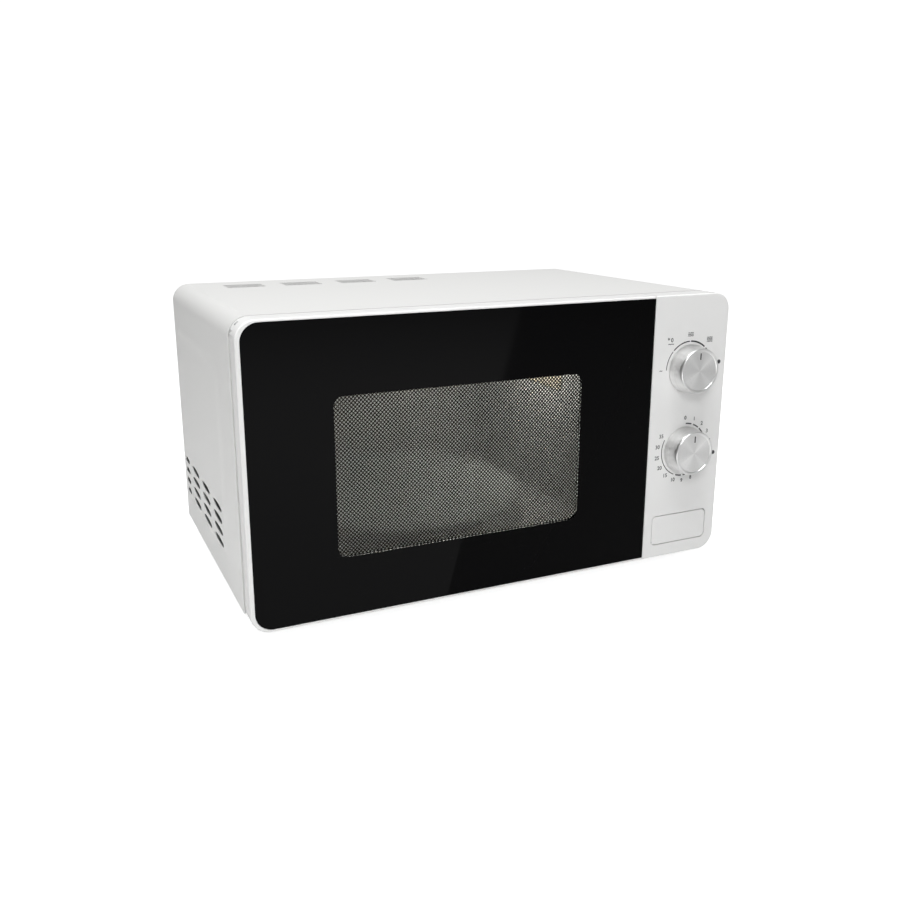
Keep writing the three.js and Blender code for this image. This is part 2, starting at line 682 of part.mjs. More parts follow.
function fanShroud() {
  const reach = FAN_RADIUS + GAP + 1.2;
  const plate = block(fanX - FAN.shroudHalf, fanX + FAN.shroudHalf, fanPlateY, fanPlateY + 2,
    fanZ - FAN.shroudHalf, fanZ + FAN.shroudHalf);
  const tube = rod('y', reach + 2, FAN.duct, fanX, fanPlateY + 2 - FAN.duct, fanZ, 28);
  const bore = rod('y', reach, FAN.duct + 4, fanX, fanPlateY - FAN.duct, fanZ, 28);
  const struts = [-1, 1].map((side) => {
    const x = fanX + side * (reach + 2.4);
    return block(x - 2, x + 2, fanMotorBack, fanPlateY + 1, fanZ - 5, fanZ + 5);
  });
  const ties = [-1, 1].map((side) => {
    const inner = fanX + side * 20;
    const outer = fanX + side * (reach + 4.4);
    return block(Math.min(inner, outer), Math.max(inner, outer), fanMotorBack, fanMotorBack + 3, fanZ - 5, fanZ + 5);
  });
  return piece('fan_shroud', union([plate, tube]).subtract(bore).add(union([...struts, ...ties])), FINISH.naturalPlastic);
}

function fanMotor() {
  const back = fanMotorBack - GAP;
  const front = back - FAN.motorDepth;
  const stack = block(fanX - 27, fanX + 27, front, back, fanZ - 24, fanZ + 24);
  const windowCut = block(fanX - 15, fanX + 15, front - 1, back + 1, fanZ - 20, fanZ - 13);
  const winding = block(fanX - 14, fanX + 14, front - 5, back - 2, fanZ - 34, fanZ - 23);
  const bearing = rod('y', 6, 4, fanX, front - 3, fanZ);
  const bore = rod('y', FAN.shaft + GAP, FAN.motorDepth, fanX, front + 4, fanZ, 12);
  return piece('fan_motor', union([stack.subtract(windowCut), winding, bearing]).subtract(bore), FINISH.coreSteel);
}

// Pitched blades around a hub that is moulded on the motor's shaft.
function fanBlade() {
  const blade = block(-0.8, 0.8, 0, FAN_RADIUS - 1, -15, 15);
  const pitched = blade.rotate([0, 50, 0]);
  const span = turnedRing([[FAN.hub - 2, -5.5], [FAN_RADIUS, -5.5], [FAN_RADIUS, 5.5], [FAN.hub - 2, 5.5]], 28);
  const laid = pitched.intersect(span);
  const blades = [];
  for (let count = 0; count < FAN_BLADES; count += 1) {
    blades.push(laid.rotate([0, 0, count * 360 / FAN_BLADES]));
  }
  const hub = turned([[0, -6], [FAN.hub, -6], [FAN.hub, 4], [FAN.hub - 2, 6], [0, 6]], 20);
  const shaftLength = FAN.motorGap + FAN.motorDepth - 6;
  const shaft = rod('z', FAN.shaft, shaftLength, 0, 0, -6 - shaftLength, 12);
  const mesh = piece('fan_blade', union([hub, shaft, ...blades]).rotate(TURN_TO.y), FINISH.naturalPlastic);
  mesh.position.set(fanX, fanRotorY + FAN.bladeDepth / 2, fanZ);
  return mesh;
}

function coolingFan() {
  return assembly([fanShroud(), fanMotor(), fanBlade()]);
}

// ---- Turntable ----

const MOTOR_RADIUS = 25;
const COUPLING = { shaft: 3.5, hub: 8, arm: 24, armWidth: 7, armHeight: 5 };

function turntableMotor() {
  const top = cavity.floor - SHEET - GAP;
  const bottom = bayFloor + 1.5;
  const drum = rod('z', MOTOR_RADIUS, top - bottom, 0, 0, bottom, 28);
  const ears = block(-MOTOR_RADIUS - 8, MOTOR_RADIUS + 8, -6, 6, top - SHEET, top);
  const bore = rod('z', COUPLING.shaft + GAP, 9, 0, 0, top - 8, 12);
  const mesh = piece('turntable_motor', drum.add(ears).subtract(bore), FINISH.zincSteel);
  mesh.position.set(cavityMidX, cavityMidY, 0);
  return mesh;
}

function turntableCoupling() {
  const top = trayUnderside - GAP;
  const hub = rod('z', COUPLING.hub, top - cavity.floor - GAP, 0, 0, cavity.floor + GAP);
  const shaft = rod('z', COUPLING.shaft, 9.5, 0, 0, cavity.floor + GAP + 0.5 - 9.5, 12);
  const arms = [0, 120, 240].map((turn) => block(0, COUPLING.arm, -COUPLING.armWidth / 2, COUPLING.armWidth / 2,
    top - COUPLING.armHeight, top).rotate([0, 0, turn]));
  const mesh = piece('turntable_coupling', union([hub, shaft, ...arms]), FINISH.naturalPlastic);
  mesh.position.set(cavityMidX, cavityMidY, 0);
  return mesh;
}

// A glass plate with a raised rim and three lugs underneath that the coupling turns.
function glassTray() {
  const low = trayUnderside;
  const high = low + TRAY_THICKNESS;
  const rimTop = low + TRAY_RIM;
  const r = trayRadius;
  const plate = turned([
    [0, low], [r - 14, low], [r - 6, low + 3], [r, rimTop - 1.5], [r, rimTop], [r - 3, rimTop - 0.6],
    [r - 9, high + 1], [r - 15, high], [0, high],
  ], 32);
  const lugs = [60, 180, 300].map((turn) => block(12, 20, -4, 4, low - 4, low + 1).rotate([0, 0, turn]));
  const mesh = piece('glass_tray', union([plate, ...lugs]), FINISH.clearGlass);
  mesh.position.set(cavityMidX, cavityMidY, 0);
  return mesh;
}

const RING_SECTION = 5;
const ringOuter = WHEEL_CIRCLE - WHEEL_WIDTH / 2 - GAP - 1.5;

function rollerRing() {
  const low = wheelZ - RING_SECTION / 2;
  const high = wheelZ + RING_SECTION / 2;
  const inner = ringOuter - RING_SECTION;
  const ring = turnedRing([[inner, low], [ringOuter, low], [ringOuter, high], [inner, high]], 32);
  const axle = rod('x', WHEEL_BORE - GAP, WHEEL_WIDTH + 7, ringOuter - 2, 0, wheelZ, 10);
  const axles = [90, 210, 330].map((turn) => axle.rotate([0, 0, turn]));
  const mesh = piece('roller_ring', union([ring, ...axles]), FINISH.naturalPlastic);
  mesh.position.set(cavityMidX, cavityMidY, 0);
  return mesh;
}

function rollerWheel(name, turn) {
  const half = WHEEL_WIDTH / 2;
  const profile = [[WHEEL_BORE + 0.1, -half], [WHEEL_RADIUS, -half], [WHEEL_RADIUS, half], [WHEEL_BORE + 0.1, half]];
  const wheel = turnedRing(profile, 20).rotate(TURN_TO.x).translate([WHEEL_CIRCLE, 0, wheelZ]);
  const mesh = piece(name, wheel.rotate([0, 0, turn]), FINISH.naturalPlastic);
  mesh.position.set(cavityMidX, cavityMidY, 0);
  return mesh;
}

function turntable() {
  return assembly([
    turntableMotor(),
    turntableCoupling(),
    glassTray(),
    rollerRing(),
    rollerWheel('roller_wheel_rear', 90),
    rollerWheel('roller_wheel_left', 210),
    rollerWheel('roller_wheel_right', 330),
  ]);
}

// ---- Door ----

const doorWindow = {
  left: WINDOW_MARGIN.left,
  right: doorWidth - WINDOW_MARGIN.right,
  low: WINDOW_MARGIN.below,
  high: FACE_HEIGHT - WINDOW_MARGIN.above,
};
const LEDGE = 2.7;
const ledgeBack = GLASS_THICKNESS + GAP + LEDGE;
const CHOKE = { left: 14.5, right: 10, below: 14, above: 11, back: 20.7, lap: 4, sheet: 1.2, coverOut: 0.5 };
const choke = {
  left: cavity.left - CHOKE.left,
  right: cavity.right + CHOKE.right,
  low: cavity.floor - CHOKE.below,
  high: cavity.ceiling + CHOKE.above,
};
const upperTabZ = FACE_HEIGHT - 11.5;
const lowerTabZ = inside.bottom + GAP;

function faceOutline(left, right, low, high, leftRadius, rightRadius) {
  return rounded(left, right, low, high, leftRadius, rightRadius, rightRadius, leftRadius);
}

// Takes off the door's inner left edge, so that it turns clear of the cabinet.
function hingeRelief() {
  const corner = block(-1, hingeX, hingeY, DOOR_THICKNESS + 1, -1, FACE_HEIGHT + 1);
  return corner.subtract(rod('z', HINGE_INSET, FACE_HEIGHT + 4, hingeX, hingeY, -2, 24));
}

// The space that a hinge tab sweeps inside the door, with the bore for its pin.
function hingeSpace(z) {
  const radius = 22;
  const start = -34 * Math.PI / 180;
  const end = 158 * Math.PI / 180;
  const fan = new THREE.Shape();
  fan.moveTo(hingeX, hingeY);
  fan.absarc(hingeX, hingeY, radius, start, end);
  const sweep = slab(fan, 'z', z - GAP - 0.2, z + HINGE_TAB + GAP + 0.2);
  const hub = rod('z', 5, HINGE_TAB + 1, hingeX, hingeY, z - 0.5);
  return union([sweep, hub, rod('z', HINGE_PIN_RADIUS + GAP, 16, hingeX, hingeY, z - 7)]);
}

function doorFrame() {
  const body = slab(faceOutline(0, doorWidth, 0, FACE_HEIGHT, FACE_RADIUS, SQUARE_EDGE), 'y', 0, DOOR_THICKNESS);
  const glassSeat = slab(faceOutline(GLASS_LIP - GAP, doorWidth + 9, GLASS_LIP_BELOW - GAP,
    FACE_HEIGHT - GLASS_LIP_BELOW + GAP, GLASS_RADIUS + GAP, SQUARE_EDGE), 'y', -1, GLASS_THICKNESS + GAP);
  const sight = slab(rounded(doorWindow.left - WINDOW_GROWTH, doorWindow.right + WINDOW_GROWTH,
    doorWindow.low - WINDOW_GROWTH, doorWindow.high + WINDOW_GROWTH, 12), 'y', -1, DOOR_THICKNESS + 1);
  const pocket = slab(rounded(choke.left - 1, doorWidth - WALL, WALL, FACE_HEIGHT - WALL, 3), 'y',
    ledgeBack, DOOR_THICKNESS + 1);
  const guides = [-1, 1].map((side) => {
    const middle = hookX + side * (HOOK.width / 2 + 3);
    return block(middle - 0.6, middle + 0.6, ledgeBack - 1, ledgeBack + 10, HOOK_HEIGHTS[0] + 20, HOOK_HEIGHTS[1] - 10);
  });
  const frame = cut(body, [glassSeat, sight, pocket, hingeRelief(), hingeSpace(upperTabZ), hingeSpace(lowerTabZ)]);
  return piece('door_frame', union([frame, ...guides]), FINISH.whitePlastic);
}

function doorGlass() {
  const outline = faceOutline(GLASS_LIP, doorWidth, GLASS_LIP_BELOW, FACE_HEIGHT - GLASS_LIP_BELOW,
    GLASS_RADIUS, SQUARE_EDGE);
  return piece('door_glass', slab(outline, 'y', 0, GLASS_THICKNESS), FINISH.blackGlass);
}

const screenFront = ledgeBack + GAP;
const SCREEN_THICKNESS = 0.8;

function doorScreen() {
  return piece('door_screen', slab(chokeOutline(0), 'y', screenFront, screenFront + SCREEN_THICKNESS), FINISH.blackPaint);
}

// The outline of the metalwork in the door, drawn in by a distance.
function chokeOutline(inset) {
  return rounded(choke.left + inset, choke.right - inset, choke.low + inset, choke.high - inset, 6 - inset);
}

// A channel of bent sheet around the door's inner side, which keeps the microwaves in.
function doorChoke() {
  const front = screenFront + SCREEN_THICKNESS + GAP;
  const ring = slab(chokeOutline(0), 'y', front, CHOKE.back);
  const middle = slab(cavityOutline(-CHOKE.lap), 'y', front - 1, CHOKE.back + 1);
  const hollow = slab(chokeOutline(CHOKE.sheet), 'y', front + CHOKE.sheet, CHOKE.back + 1);
  const innerWall = slab(cavityOutline(CHOKE.sheet - CHOKE.lap), 'y', front, CHOKE.back + 2);
  return piece('door_choke', cut(ring, [middle, hollow.subtract(innerWall)]), FINISH.zincSteel);
}

function chokeCover() {
  const front = CHOKE.back + GAP;
  const back = DOOR_THICKNESS + CHOKE.coverOut;
  const ring = slab(chokeOutline(2), 'y', front, back);
  const middle = slab(cavityOutline(-CHOKE.lap - 2), 'y', front - 1, back + 1);
  return piece('choke_cover', ring.subtract(middle), FINISH.greyPlastic);
}

function innerWindow() {
  const front = CHOKE.back - 3;
  const outline = cavityOutline(-CHOKE.lap - GAP);
  return piece('inner_window', slab(outline, 'y', front, front + 1.2), FINISH.clearGlass);
}

// A sliding bar with two hooks that reach through the front frame.
function doorHook() {
  const half = HOOK.width / 2;
  const barFront = ledgeBack + GAP;
  const barBack = barFront + 8;
  const bar = block(hookX - half, hookX + half, barFront, barBack, HOOK_HEIGHTS[0] - 14,
    HOOK_HEIGHTS[1] + HOOK.height + 8);
  const hooks = HOOK_HEIGHTS.map((z) => union([
    block(hookX - half, hookX + half, barFront + 1, HOOK.reach, z, z + HOOK.height),
    block(hookX - half, hookX + half, HOOK.reach - 6, HOOK.reach, z - HOOK.nose, z + 1),
  ]));
  return piece('door_hook', union([bar, ...hooks]), FINISH.naturalPlastic);
}

// A bracket on the front frame, with a tab that carries the door's pin.
function hingeBracket(name, tabZ, direction) {
  const back = plateFront - GAP;
  const footX = hingeX + 14;
  const tab = slab(polygon([
    [hingeX - 1.5, hingeY - 2.2], [hingeX + 2, hingeY - 2.5], [footX + 3, back - 4.5], [footX + 3, back],
    [footX - 3, back], [hingeX - 2.6, hingeY + 1],
  ]), 'z', tabZ, tabZ + HINGE_TAB);
  const pin = rod('z', HINGE_PIN_RADIUS, 12, hingeX, hingeY, tabZ - 5);
  const low = direction > 0 ? tabZ : tabZ - 16;
  const flange = block(footX - 5, footX + 6, back - SHEET, back, low, low + 18);
  return piece(name, union([tab, pin, flange]), FINISH.zincSteel);
}

function door() {
  return assembly([
    doorFrame(),
    doorGlass(),
    doorScreen(),
    doorChoke(),
    chokeCover(),
    innerWindow(),
    doorHook(),
    hingeBracket('upper_hinge_bracket', upperTabZ, -1),
    hingeBracket('lower_hinge_bracket', lowerTabZ, 1),
  ]);
}

// ---- Controls and door release ----

const buttonMidX = panelLeft + PANEL_WIDTH / 2 - 1;
const buttonOutline = (growth) => rounded(
  buttonMidX - BUTTON.width / 2 - growth, buttonMidX + BUTTON.width / 2 + growth,
  BUTTON.above - growth, BUTTON.above + BUTTON.height + growth, BUTTON.radius + growth);

function controlPanel() {
  const body = slab(faceOutline(panelLeft, WIDTH, 0, FACE_HEIGHT, SQUARE_EDGE, FACE_RADIUS), 'y', 0, DOOR_THICKNESS);
  const hollow = slab(faceOutline(panelLeft + WALL, WIDTH - WALL, WALL, FACE_HEIGHT - WALL,
    SQUARE_EDGE, FACE_RADIUS - WALL), 'y', WALL, DOOR_THICKNESS + 1);
  const shaftHoles = [powerKnobZ, timerKnobZ].map((z) => rod('y', SHAFT_RADIUS + 1.5, WALL + 2, knobX, -1, z));
  const buttonHole = slab(buttonOutline(BUTTON.clearance), 'y', -1, WALL + 1);
  const shell = cut(body, [hollow, ...shaftHoles, buttonHole]);
  const pegs = [[panelLeft + 5, 70], [WIDTH - 5, 70], [panelLeft + 5, FACE_HEIGHT - 40], [WIDTH - 5, FACE_HEIGHT - 40]];
  const posts = pegs.map(([x, z]) => block(x - 3, x + 3, WALL - 1, plateFront - GAP, z - 3, z + 3));
  return piece('control_panel', union([shell, ...posts]), FINISH.whitePlastic);
}

const TIMER = { width: 42, overlap: 25, front: 6, back: 36 };

// One case holds the clockwork timer and the power selector, a shaft for each.
function timerUnit() {
  const low = timerKnobZ - TIMER.overlap;
  const high = powerKnobZ + TIMER.overlap;
  const box = block(knobX - TIMER.width / 2, knobX + TIMER.width / 2, TIMER.front, TIMER.back, low, high);
  const spacers = [low + 5, high - 5].map((z) => rod('y', 4, TIMER.front - WALL - GAP + 1, knobX, WALL + GAP, z, 12));
  const bores = [powerKnobZ, timerKnobZ].map((z) => rod('y', SHAFT_RADIUS + GAP, 16, knobX, TIMER.front - 1, z, 16));
  return piece('timer_unit', cut(union([box, ...spacers]), bores), FINISH.naturalPlastic);
}

function timerBell() {
  const profile = [[0, 0], [3, 0], [3, 3], [14, 1], [14.5, 2], [12, 7], [7, 9.5], [0, 10.5]];
  const mesh = piece('timer_bell', turned(profile, 20).rotate(TURN_TO.y), FINISH.brushedSilver);
  mesh.position.set(knobX, TIMER.back + GAP, (powerKnobZ + timerKnobZ) / 2);
  return mesh;
}

function dialShaft(name, z) {
  const front = KNOB_OUT - 4.8;
  const length = front + TIMER.front + 14;
  const mesh = piece(name, rod('y', SHAFT_RADIUS, length, 0, 0, 0), FINISH.zincSteel);
  mesh.position.set(knobX, -front, z);
  return mesh;
}

// A hollow dial with a raised rim around its face and a pointer groove at the top.
function knob(name, z) {
  const face = KNOB_OUT - 0.8;
  const roof = KNOB_OUT - 3.3;
  const bore = SHAFT_RADIUS + GAP;
  const profile = [
    [0, KNOB_OUT - 4.5], [bore, KNOB_OUT - 4.5], [bore, KNOB_LIFT], [6, KNOB_LIFT], [6, roof],
    [KNOB_FACE_RADIUS - 2.6, roof], [KNOB_RADIUS - 2.4, KNOB_LIFT], [KNOB_RADIUS, KNOB_LIFT],
    [KNOB_RADIUS, KNOB_LIFT + 1.2], [KNOB_FACE_RADIUS, KNOB_OUT], [KNOB_FACE_RADIUS - 1.8, KNOB_OUT],
    [KNOB_FACE_RADIUS - 2.2, face], [0, face],
  ];
  const pointer = block(-0.65, 0.65, KNOB_FACE_RADIUS - 8.4, KNOB_FACE_RADIUS - 2.4, face - 0.5, face + 2);
  const dial = turned(profile, 24).subtract(pointer);
  const mesh = piece(name, dial.rotate([90, 0, 0]), FINISH.brushedSilver);
  mesh.position.set(knobX, 0, z);
  return mesh;
}

const leverY = plateBack + 34;
const leverZ = bayFloor + 9;
const leverX = hookX + 34;
const leverPushZ = leverZ + LEVER_ARM;

// The flush button and the stem that reaches back to the release lever.
function releaseButton() {
  const cap = slab(buttonOutline(0), 'y', 0, BUTTON.thickness);
  const hollow = slab(buttonOutline(-2), 'y', 2, BUTTON.thickness + 1);
  const stem = block(leverX - 2.5, leverX + 2.5, 1, leverY - GAP, leverPushZ - 1, leverPushZ + 1);
  const rib = block(leverX - 2.5, leverX + 2.5, 1, plateFront - 8, leverPushZ - 5, leverPushZ + 1);
  return piece('release_button', union([cap.subtract(hollow), stem, rib]), FINISH.whitePlastic);
}

// A rocker on a cross shaft: the button pushes its right arm back and its left arm lifts the hook.
function releaseLever() {
  const shaft = rod('x', 3.5, leverX + 8 - (hookX - 6), hookX - 6, leverY, leverZ, 16);
  const pushArm = block(leverX - 3, leverX + 3, leverY, leverY + 4, leverZ, leverPushZ + 4);
  const liftTop = HOOK_HEIGHTS[0] - HOOK.nose - 2;
  const liftArm = slab(polygon([
    [leverY - 3, leverZ - 1], [leverY + 3, leverZ + 1], [leverY - 9, liftTop], [leverY - 14, liftTop],
  ]), 'x', hookX - 2, hookX + 2);
  return piece('release_lever', union([shaft, pushArm, liftArm]), FINISH.naturalPlastic);
}

// A coil around the lever's shaft that returns the lever and the button.
function releaseSpring() {
  const turns = 3;
  const radius = 4.8;
  const length = 14;
  const path = new THREE.CatmullRomCurve3(Array.from({ length: turns * 8 + 1 }, (_, step) => {
    const angle = step * Math.PI / 4;
    return new THREE.Vector3(length * step / (turns * 8), radius * Math.cos(angle), radius * Math.sin(angle));
  }));
  const wire = new THREE.Shape();
  wire.absarc(0, 0, 0.7, 0, 2 * Math.PI);
  const geometry = new THREE.ExtrudeGeometry(wire, { steps: turns * 8, curveSegments: 3, extrudePath: path });
  const mesh = piece('release_spring', toSolid(geometry), FINISH.zincSteel);
  mesh.position.set(latchPlateX + WALL + GAP + 0.7, leverY, leverZ);
  return mesh;
}

const latchPlateX = hookX + HOOK.width / 2 + 5;

// The plastic plate behind the front frame that guides the hooks and carries the switches.
function latchBracket() {
  const y0 = plateBack + GAP;
  const low = HOOK_HEIGHTS[0] - 16;
  const high = HOOK_HEIGHTS[1] + HOOK.height + 14;
  const plate = block(latchPlateX, latchPlateX + WALL, y0, y0 + 36, low, high);
  const ear = block(latchPlateX, latchPlateX + WALL, leverY - 9, leverY + 9, leverZ - 7, low + 1);
  const bearing = rod('x', 3.5 + GAP, WALL + 4, latchPlateX - 2, leverY, leverZ);
  const flange = block(latchPlateX, latchPlateX + 12, y0, y0 + 2, low, high);
  const shelves = HOOK_HEIGHTS.map((z) => block(hookX + 3 + GAP, latchPlateX + 1, y0 + 8, y0 + 20, z - 12, z + 20));
  return piece('latch_bracket', union([plate, ear, flange, ...shelves]).subtract(bearing), FINISH.naturalPlastic);
}

// A small snap switch with a plunger, on the latch bracket.
function doorSwitch(name, z) {
  const x0 = latchPlateX + WALL + GAP;
  const y0 = plateBack + GAP + 5;
  const box = block(x0, x0 + 10, y0, y0 + 28, z - 8, z + 8);
  const plunger = block(x0 + 3, x0 + 7, y0 + 8, y0 + 12, z + 7, z + 11);
  const tabs = [4, 14, 23].map((y) => block(x0 + 9, x0 + 15, y0 + y, y0 + y + 1, z - 3, z + 3));
  return piece(name, union([box, plunger, ...tabs]), FINISH.blackPlastic);
}

function controls() {
  return assembly([
    controlPanel(),
    timerUnit(),
    timerBell(),
    dialShaft('power_shaft', powerKnobZ),
    dialShaft('timer_shaft', timerKnobZ),
    knob('power_knob', powerKnobZ),
    knob('timer_knob', timerKnobZ),
    releaseButton(),
    releaseLever(),
    releaseSpring(),
    latchBracket(),
    doorSwitch('primary_switch', HOOK_HEIGHTS[0] + 30),
    doorSwitch('monitor_switch', HOOK_HEIGHTS[0] + 58),
    doorSwitch('secondary_switch', HOOK_HEIGHTS[1] - 24),
  ]);
}

// ---- The whole oven ----

const oven = assembly([cabinet(), microwaveSource(), powerSupply(), coolingFan(), turntable(), door(), controls()]);
oven.position.set(-WIDTH / 2, (KNOB_OUT - rearFace) / 2, FACE_LIFT);

export default assembly([oven]);
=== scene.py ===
import json
from math import cos, pi, radians, sin

import bmesh
import bpy
from bpy.props import FloatProperty, FloatVectorProperty, PointerProperty
from bpy.types import Operator, Panel, PropertyGroup
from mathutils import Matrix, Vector


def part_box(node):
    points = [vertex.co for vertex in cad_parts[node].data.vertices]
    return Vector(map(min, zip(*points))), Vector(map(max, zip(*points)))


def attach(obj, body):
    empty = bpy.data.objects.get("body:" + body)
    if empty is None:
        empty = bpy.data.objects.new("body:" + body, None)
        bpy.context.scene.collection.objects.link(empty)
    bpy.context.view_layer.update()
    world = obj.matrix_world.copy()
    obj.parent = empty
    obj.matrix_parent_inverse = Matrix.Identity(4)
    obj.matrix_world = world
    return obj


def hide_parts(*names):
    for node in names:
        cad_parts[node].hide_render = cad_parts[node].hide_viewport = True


bl_info = {
    "name": "Dial microwave oven",
    "version": (1, 0, 0),
    "blender": (4, 5, 0),
    "location": "3D View > Sidebar > Oven",
    "description": "Builds the detailed skin, glass, dials and studio of a countertop microwave oven",
    "category": "Object",
}

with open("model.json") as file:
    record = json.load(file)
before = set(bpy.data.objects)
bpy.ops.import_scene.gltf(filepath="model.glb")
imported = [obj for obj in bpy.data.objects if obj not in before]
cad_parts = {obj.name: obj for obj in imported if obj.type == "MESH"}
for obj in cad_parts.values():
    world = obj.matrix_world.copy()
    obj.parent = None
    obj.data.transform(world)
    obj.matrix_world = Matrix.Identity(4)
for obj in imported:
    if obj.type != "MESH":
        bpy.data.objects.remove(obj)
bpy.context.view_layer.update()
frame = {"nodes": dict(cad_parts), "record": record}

MM = 0.001
# Two measures that differ by less than this, in metres, are the same.
NEAR = 1e-6


def span(node):
    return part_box(node)


DOOR_LOW, DOOR_HIGH = span("door_frame")
PANEL_LOW, PANEL_HIGH = span("control_panel")
WRAP_LOW, WRAP_HIGH = span("cabinet_wrap")
GLASS_LOW, GLASS_HIGH = span("door_glass")
SCREEN_LOW, SCREEN_HIGH = span("door_screen")
BUTTON_LOW, BUTTON_HIGH = span("release_button")
TRAY_LOW, TRAY_HIGH = span("glass_tray")
CAVITY_LOW, CAVITY_HIGH = span("cavity_body")

# The oven's face: its lower left corner, in the plane of the glass.
FACE = Vector((DOOR_LOW.x, GLASS_LOW.y, DOOR_LOW.z))
FACE_WIDTH = PANEL_HIGH.x - DOOR_LOW.x
FACE_HEIGHT = DOOR_HIGH.z - DOOR_LOW.z


def at(x, y, z):
    """A point given in millimetres right of, behind and above the face's lower left corner."""
    return FACE + Vector((x, y, z)) * MM


def middle(node):
    low, high = span(node)
    return (low + high) / 2


# ---------------------------------------------------------------- settings


def number(name, description, default, **kind):
    return FloatProperty(name=name, description=description, default=default, **kind)


def length(name, description, default):
    return number(name, description, default, min=0.0, subtype="DISTANCE", unit="LENGTH")


def colour(name, description, default):
    return FloatVectorProperty(name=name, description=description, default=default, size=3, min=0.0, max=1.0,
                               subtype="COLOR")


class OvenCabinetSettings(PropertyGroup):
    corner_radius: length("Corner radius", "Radius of the cabinet's two upper edges", 0.016)
    sheet: length("Sheet", "Thickness of the painted steel", 0.0008)
    press_height: length("Press height", "How far the raised field stands out from a side", 0.0025)
    press_radius: length("Press radius", "Corner radius of the raised field", 0.018)
    press_slope: length("Press slope", "Width of the slope round the raised field", 0.008)
    louvre_length: length("Louvre length", "Length of one side louvre", 0.037)
    louvre_height: length("Louvre height", "Height of one side louvre", 0.0062)
    vent_width: length("Vent width", "Width of one slot in the top", 0.0052)
    paint: colour("Paint", "Colour of the powder coat", (0.80, 0.80, 0.795))


class OvenDoorSettings(PropertyGroup):
    corner_radius: length("Corner radius", "Radius of the door's left corners", 0.016)
    glass_radius: length("Glass radius", "Radius of the glass's left corners", 0.0145)
    rim_rounding: length("Rim rounding", "Rounding of the moulding's front edge", 0.0014)
    window_radius: length("Window radius", "Corner radius of the clear window", 0.008)
    hole: length("Hole", "Width across one hole in the screen", 0.0017)
    hole_pitch: length("Hole pitch", "Distance between holes in a row of the screen", 0.0032)
    row_pitch: length("Row pitch", "Distance between two rows of the screen", 0.00165)
    moulding: colour("Moulding", "Colour of the door's moulding", (0.78, 0.78, 0.775))


class OvenPanelSettings(PropertyGroup):
    corner_radius: length("Corner radius", "Radius of the panel's right corners", 0.016)
    wall: length("Wall", "Wall of the moulded panel", 0.0025)
    button_gap: length("Button gap", "Gap round the release button", 0.0008)
    print_width: length("Print width", "Height of the printed numbers", 0.0050)
    ink: colour("Ink", "Colour of the printed scales", (0.03, 0.03, 0.035))


class OvenDialSettings(PropertyGroup):
    base_radius: length("Base radius", "Radius of a dial at the panel", 0.0223)
    face_radius: length("Face radius", "Radius of a dial's face", 0.0204)
    rim: length("Rim", "Width of the bright rim round the face", 0.0024)
    silver: colour("Silver", "Colour of the brushed finish", (0.74, 0.74, 0.735))


class OvenStageSettings(PropertyGroup):
    lens: number("Lens", "Focal length of the camera", 37.04, unit="CAMERA")
    turn: number("Turn", "Camera's turn to the right", radians(24.7), subtype="ANGLE")
    tilt: number("Tilt", "Camera's tilt below level", radians(14.75), subtype="ANGLE")
    top_light: number("Top light", "Power of the light above", 31.5, unit="POWER")
    front_light: number("Front light", "Power of the light in front", 27.0, unit="POWER")
    room: number("Room", "Brightness of the room's soft light", 0.33)


# ---------------------------------------------------------------- modelling


def deselect_all():
    if bpy.context.object and bpy.context.object.mode != "OBJECT":
        bpy.ops.object.mode_set(mode="OBJECT")
    bpy.ops.object.select_all(action="DESELECT")


def begin(obj):
    """Makes one object the only one that is selected and active."""
    deselect_all()
    obj.select_set(True)
    bpy.context.view_layer.objects.active = obj
    return obj


def named(name):
    obj = bpy.context.object
    obj.name = obj.data.name = name
    return obj


def block(name, low, high):
    """A box between two corners, as the start of a piece."""
    deselect_all()
    bpy.ops.mesh.primitive_cube_add(size=1, location=(low + high) / 2, scale=high - low)
    obj = named(name)
    bpy.ops.object.transform_apply(location=True, rotation=True, scale=True)
    return obj


def edit(obj, kind="EDGE"):
    begin(obj)
    bpy.ops.object.mode_set(mode="EDIT")
    bpy.ops.mesh.select_mode(type=kind)
    bpy.ops.mesh.select_all(action="DESELECT")
    return bmesh.from_edit_mesh(obj.data)


def show_picked(obj, mesh):
    mesh.select_flush_mode()
    bmesh.update_edit_mesh(obj.data)


def pick_edges(obj, test):
    """Selects the edges whose middle and direction pass a test."""
    mesh = edit(obj, "EDGE")
    for edge in mesh.edges:
        a, b = edge.verts[0].co, edge.verts[1].co
        if test((a + b) / 2, (b - a).normalized()):
            edge.select_set(True)
    show_picked(obj, mesh)


def pick_faces(obj, test):
    """Selects the faces whose middle and normal pass a test."""
    mesh = edit(obj, "FACE")
    for face in mesh.faces:
        if test(face.calc_center_median(), face.normal):
            face.select_set(True)
    show_picked(obj, mesh)


def pick_points(obj, test):
    """Selects the points whose place passes a test."""
    mesh = edit(obj, "VERT")
    for vert in mesh.verts:
        vert.select_set(test(vert.co))
    show_picked(obj, mesh)


def pick_all():
    bpy.ops.mesh.select_all(action="SELECT")


def done():
    bpy.ops.object.mode_set(mode="OBJECT")


def bevel(offset, segments):
    """Rounds the picked edges and leaves edit mode."""
    bpy.ops.mesh.bevel(offset=offset, offset_type="OFFSET", segments=segments, profile=0.5, affect="EDGES",
                       clamp_overlap=False)
    done()


def press(width, height):
    """Draws the picked faces in by a width and pushes them out by a height."""
    bpy.ops.mesh.inset(thickness=width, depth=height)
    done()


def move(value):
    """Moves what is picked, and leaves edit mode."""
    bpy.ops.transform.translate(value=value)
    done()


CORNER_SEGMENTS = 14


